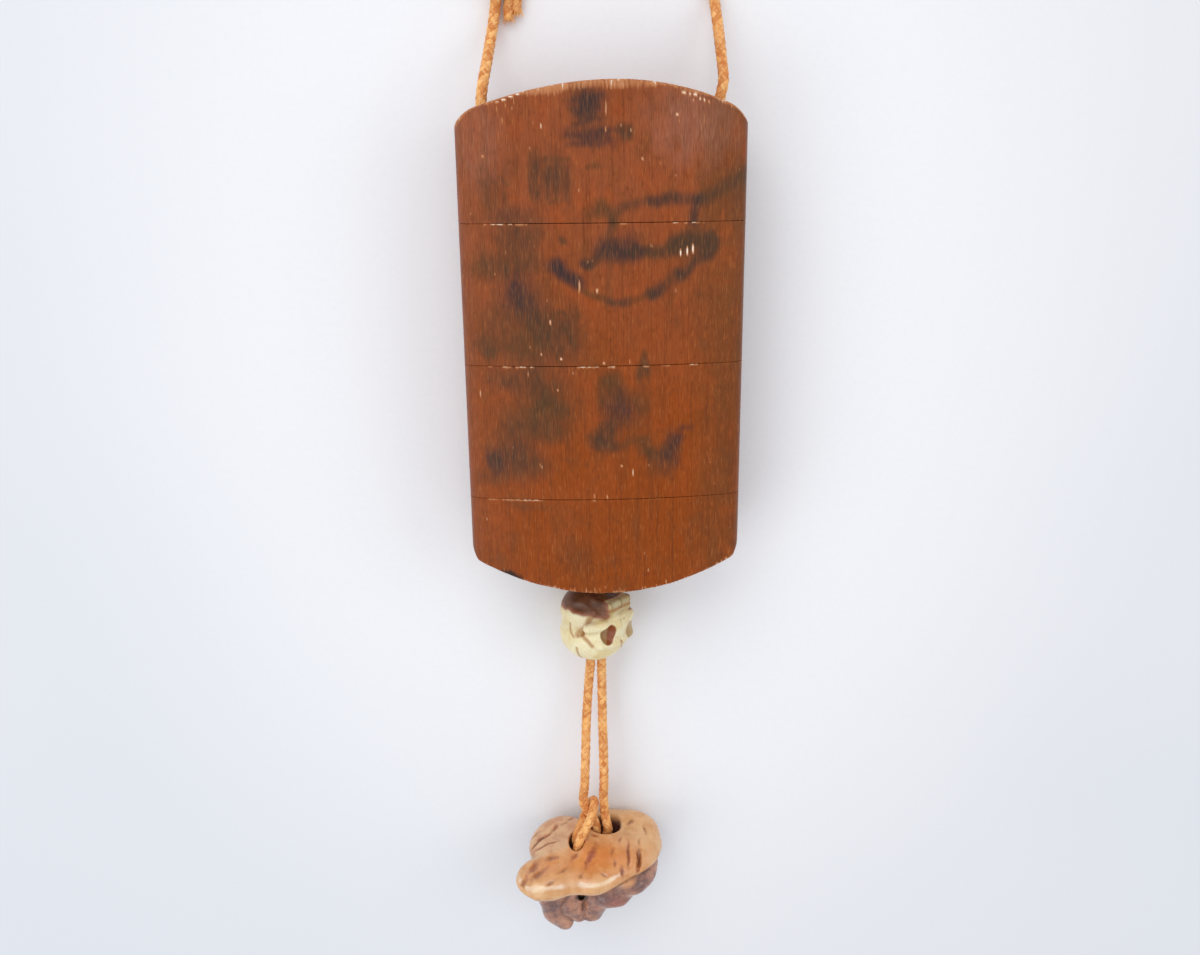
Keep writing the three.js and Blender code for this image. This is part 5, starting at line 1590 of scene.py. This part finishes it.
toggle = make_object(
    "mushroom_toggle",
    points,
    quads,
    None,
    {
        "pit": np.clip(pit, 0, 1),
        "purple": np.clip(purple, 0, 1),
        "under": np.clip(under, 0, 1),
        "inside": np.clip(inside, 0, 1),
        "amber": np.clip(amber + 0.25 * wob, 0, 1),
        "painted_lip_highlight": np.clip(painted_lip_highlight, 0, 1),
        "pink": np.clip(pink, 0, 1),
        "gap": np.clip(gap, 0, 1),
        "painted_under_shade": np.clip(painted_under_shade * (1 + 0.6 * wob), 0, 1),
        "blush": np.clip(blush, 0, 1),
        "hollow": np.clip(hollow * 7, 0, 1),
    },
)
print("toggle", len(quads), "faces")


def bone_material():
    g = Graph("old_bone")
    patch = g.noise((4.5, 4.5, 4.5), (1, 2, 3), 3.0, 0.6)
    fine = g.noise((0.35, 0.9, 0.35), (4, 1, 2), 3.0, 0.6)
    tone = g.mix(g.span(patch, 0.36, 0.66), srgb(240, 230, 190), srgb(228, 208, 150))
    tone = g.mix(g.span(fine, 0.42, 0.75, 0.0, 0.28), tone, srgb(196, 164, 112))
    tone = g.mix(g.span(g.cells((0.5, 0.5, 0.5)), 0.17, 0.06, 0.0, 0.4), tone, srgb(180, 140, 88))
    tone = g.mix(g.math("MULTIPLY", g.attr("crown"), 0.75), tone, srgb(186, 138, 84))
    tone = g.mix(g.math("MULTIPLY", g.attr("olive"), g.span(patch, 0.3, 0.7, 0.55, 0.95)), tone, srgb(178, 156, 92))
    tooth = g.mix(g.span(patch, 0.35, 0.65), srgb(206, 200, 156), srgb(182, 164, 116))
    tone = g.mix(g.attr("teeth"), tone, tooth)
    # stained recesses: reddish at the border, dark brown inside
    stain = g.attr("stain")
    tone = g.mix(g.math("MULTIPLY", g.attr("hollow"), 0.7), tone, srgb(170, 118, 58))
    tone = g.mix(g.math("MULTIPLY", g.attr("line"), 0.72), tone, srgb(172, 112, 50))
    tone = g.mix(g.span(stain, 0.05, 0.45), tone, srgb(154, 98, 72))
    tone = g.mix(g.span(stain, 0.4, 0.95), tone, g.mix(g.span(patch, 0.35, 0.65), srgb(88, 54, 34), srgb(126, 84, 60)))
    eye = g.mix(g.attr("tan"), g.mix(g.span(fine, 0.3, 0.7), srgb(132, 58, 22), srgb(150, 74, 34)), srgb(168, 130, 84))
    tone = g.mix(g.math("MULTIPLY", g.attr("eye"), 0.97), tone, eye)
    g.set(Base_Color=tone, Roughness=g.span(patch, 0.3, 0.7, 0.28, 0.42, "LINEAR"), Normal=g.bump(fine, 0.03, 0.5))
    g.set(Subsurface_Weight=0.12, Subsurface_Radius=(1.0, 0.6, 0.3), Subsurface_Scale=0.0008, Specular_IOR_Level=0.38)
    return g.material


def antler_material():
    g = Graph("stag_antler")
    grain = g.noise((0.5, 0.5, 2.6), (3, 6, 1), 3.0, 0.6)
    cloud = g.noise((3.2, 3.2, 3.2), (7, 1, 5), 3.0, 0.6)
    fleck = g.noise((0.9, 0.6, 0.9), (2, 8, 3), 2.0, 0.6)
    tone = g.mix(g.span(cloud, 0.38, 0.66), srgb(220, 174, 124), srgb(206, 152, 98))
    tone = g.mix(g.attr("amber"), tone, g.mix(g.span(cloud, 0.35, 0.65), srgb(219, 138, 70), srgb(206, 122, 58)))
    # painted highlight along the front lip
    tone = g.mix(g.math("MULTIPLY", g.attr("painted_lip_highlight"), 0.85), tone, g.mix(g.span(cloud, 0.4, 0.6), srgb(246, 226, 192), srgb(240, 216, 192)))
    tone = g.mix(g.math("MULTIPLY", g.attr("pink"), 0.85), tone, g.mix(g.span(cloud, 0.4, 0.7), srgb(214, 172, 132), srgb(194, 140, 104)))
    tone = g.mix(g.span(fleck, 0.58, 0.78, 0.0, 0.4), tone, srgb(184, 106, 58))
    tone = g.mix(g.span(grain, 0.55, 0.8, 0.0, 0.25), tone, srgb(232, 190, 142))
    low = g.mix(g.span(cloud, 0.36, 0.64), srgb(192, 138, 110), srgb(128, 90, 80))
    low = g.mix(g.span(fleck, 0.5, 0.75, 0.0, 0.5), low, srgb(200, 144, 122))
    low = g.mix(g.span(fleck, 0.44, 0.26, 0.0, 0.25), low, srgb(98, 66, 66))
    # painted shade under the cap
    low = g.mix(g.math("MULTIPLY", g.attr("painted_under_shade"), 0.85), low, g.mix(g.span(fleck, 0.35, 0.7), srgb(88, 64, 64), srgb(122, 88, 84)))
    low = g.mix(g.math("MULTIPLY", g.attr("blush"), 0.6), low, srgb(166, 96, 84))
    tone = g.mix(g.attr("under"), tone, low)
    tone = g.mix(g.math("MULTIPLY", g.attr("hollow"), 0.8), tone, srgb(92, 54, 38))
    pit = g.mix(g.attr("purple"), g.mix(g.span(cloud, 0.4, 0.62), srgb(166, 84, 36), srgb(126, 64, 36)), srgb(146, 66, 48))
    tone = g.mix(g.span(g.attr("pit"), 0.0, 1.0, 0.0, 0.92, "LINEAR"), tone, pit)
    # painted shadow in the gap under the front lip
    tone = g.mix(g.math("MULTIPLY", g.attr("gap"), 0.85), tone, srgb(52, 40, 30))
    # painted shade inside the holes
    tone = g.mix(g.math("MULTIPLY", g.attr("inside"), 0.92), tone, srgb(74, 44, 44))
    g.set(Base_Color=tone, Roughness=g.span(cloud, 0.3, 0.7, 0.22, 0.36, "LINEAR"), Normal=g.bump(grain, 0.04, 0.4))
    g.set(Coat_Weight=0.3, Coat_Roughness=0.12, Subsurface_Weight=0.06, Subsurface_Radius=(1.0, 0.5, 0.25), Subsurface_Scale=0.0008)
    return g.material


BONE, ANTLER = bone_material(), antler_material()


# ---------- the pieces ----------
for name, kinds, seams in (
    ("case_bottom", ("seam", "dome"), (0, None)),
    ("case_middle", ("seam", "seam"), (1, 0)),
    ("case_top", ("seam", "seam"), (2, 1)),
    ("lid", ("dome", "seam"), (None, 2)),
):
    piece = case_piece(name + "_worn", *kinds, *seams)
    finish_piece(piece, WOOD, [name])
    print(name, len(piece.data.polygons), "faces")

finish_piece(cord, SILK, CORD_NODES)
finish_piece(knot, SILK, ["cord_knot"])
finish_piece(bead, BONE, ["ojime_bead"])
finish_piece(toggle, ANTLER, ["netsuke_toggle"])
[tuple(float(v) * MM for v in p) for p in cord_points]


# ---------- floor and light ----------
def floor_material():
    g = Graph("floor_paper")
    cloud = g.noise((260, 200, 260), (2, 3, 1), 2.0)
    fine = g.noise((1.2, 1.2, 1.2), (5, 5, 5), 2.0)
    colour = g.mix(g.span(cloud, 0.3, 0.7), srgb(220, 223, 228), srgb(227, 227, 230))
    painted_glow_distance = g.tree.nodes.new("ShaderNodeVectorMath")  # painted light: a little lighter round the set, lifting the shadows there
    painted_glow_distance.operation = "LENGTH"
    g.tree.links.new(g.stretch((85, 120, 85)), painted_glow_distance.inputs[0])
    colour = g.mix(g.span(painted_glow_distance.outputs["Value"], 1.7, 0.5), colour, srgb(241, 241, 243))

    g.set(Base_Color=g.mix(g.span(fine, 0.3, 0.7, 0.0, 0.06), colour, srgb(214, 218, 226)), Roughness=0.9, Normal=g.bump(fine, 0.05, 0.2))
    g.set(Specular_IOR_Level=0.15)
    return g.material


floor = make_object("floor", [(-1500, -1500, 0), (1500, -1500, 0), (1500, 1500, 0), (-1500, 1500, 0)], [[0, 1, 2, 3]])
floor.location.z = -0.00005
floor.data.materials.append(floor_material())


def lamp(name, at, to, size, watts, colour=(1, 1, 1)):
    data = bpy.data.lights.new(name, "AREA")
    data.shape = "RECTANGLE"
    data.size, data.size_y = size
    data.energy = watts
    data.color = colour
    obj = bpy.data.objects.new(name, data)
    obj.location = Vector(at)
    obj.rotation_euler = (Vector(to) - Vector(at)).to_track_quat("-Z", "Y").to_euler()
    scene.collection.objects.link(obj)
    return obj


world = bpy.data.worlds.new("room")
world.use_nodes = True
sky = world.node_tree.nodes["Background"]
sky.inputs["Color"].default_value = srgb(244, 247, 252)
sky.inputs["Strength"].default_value = 0.78
scene.world = world
lamp("key", (-0.25, 0.75, 0.75), (0, 0, 0), (0.9, 0.7), 3.9, (1.0, 0.985, 0.96))
lamp("fill", (-0.6, -0.3, 0.7), (0, -0.03, 0), (0.6, 0.6), 1.6, (0.97, 0.985, 1.0))
lamp("rim", (0.7, 0.1, 0.6), (0, -0.03, 0), (0.5, 0.5), 1.0)
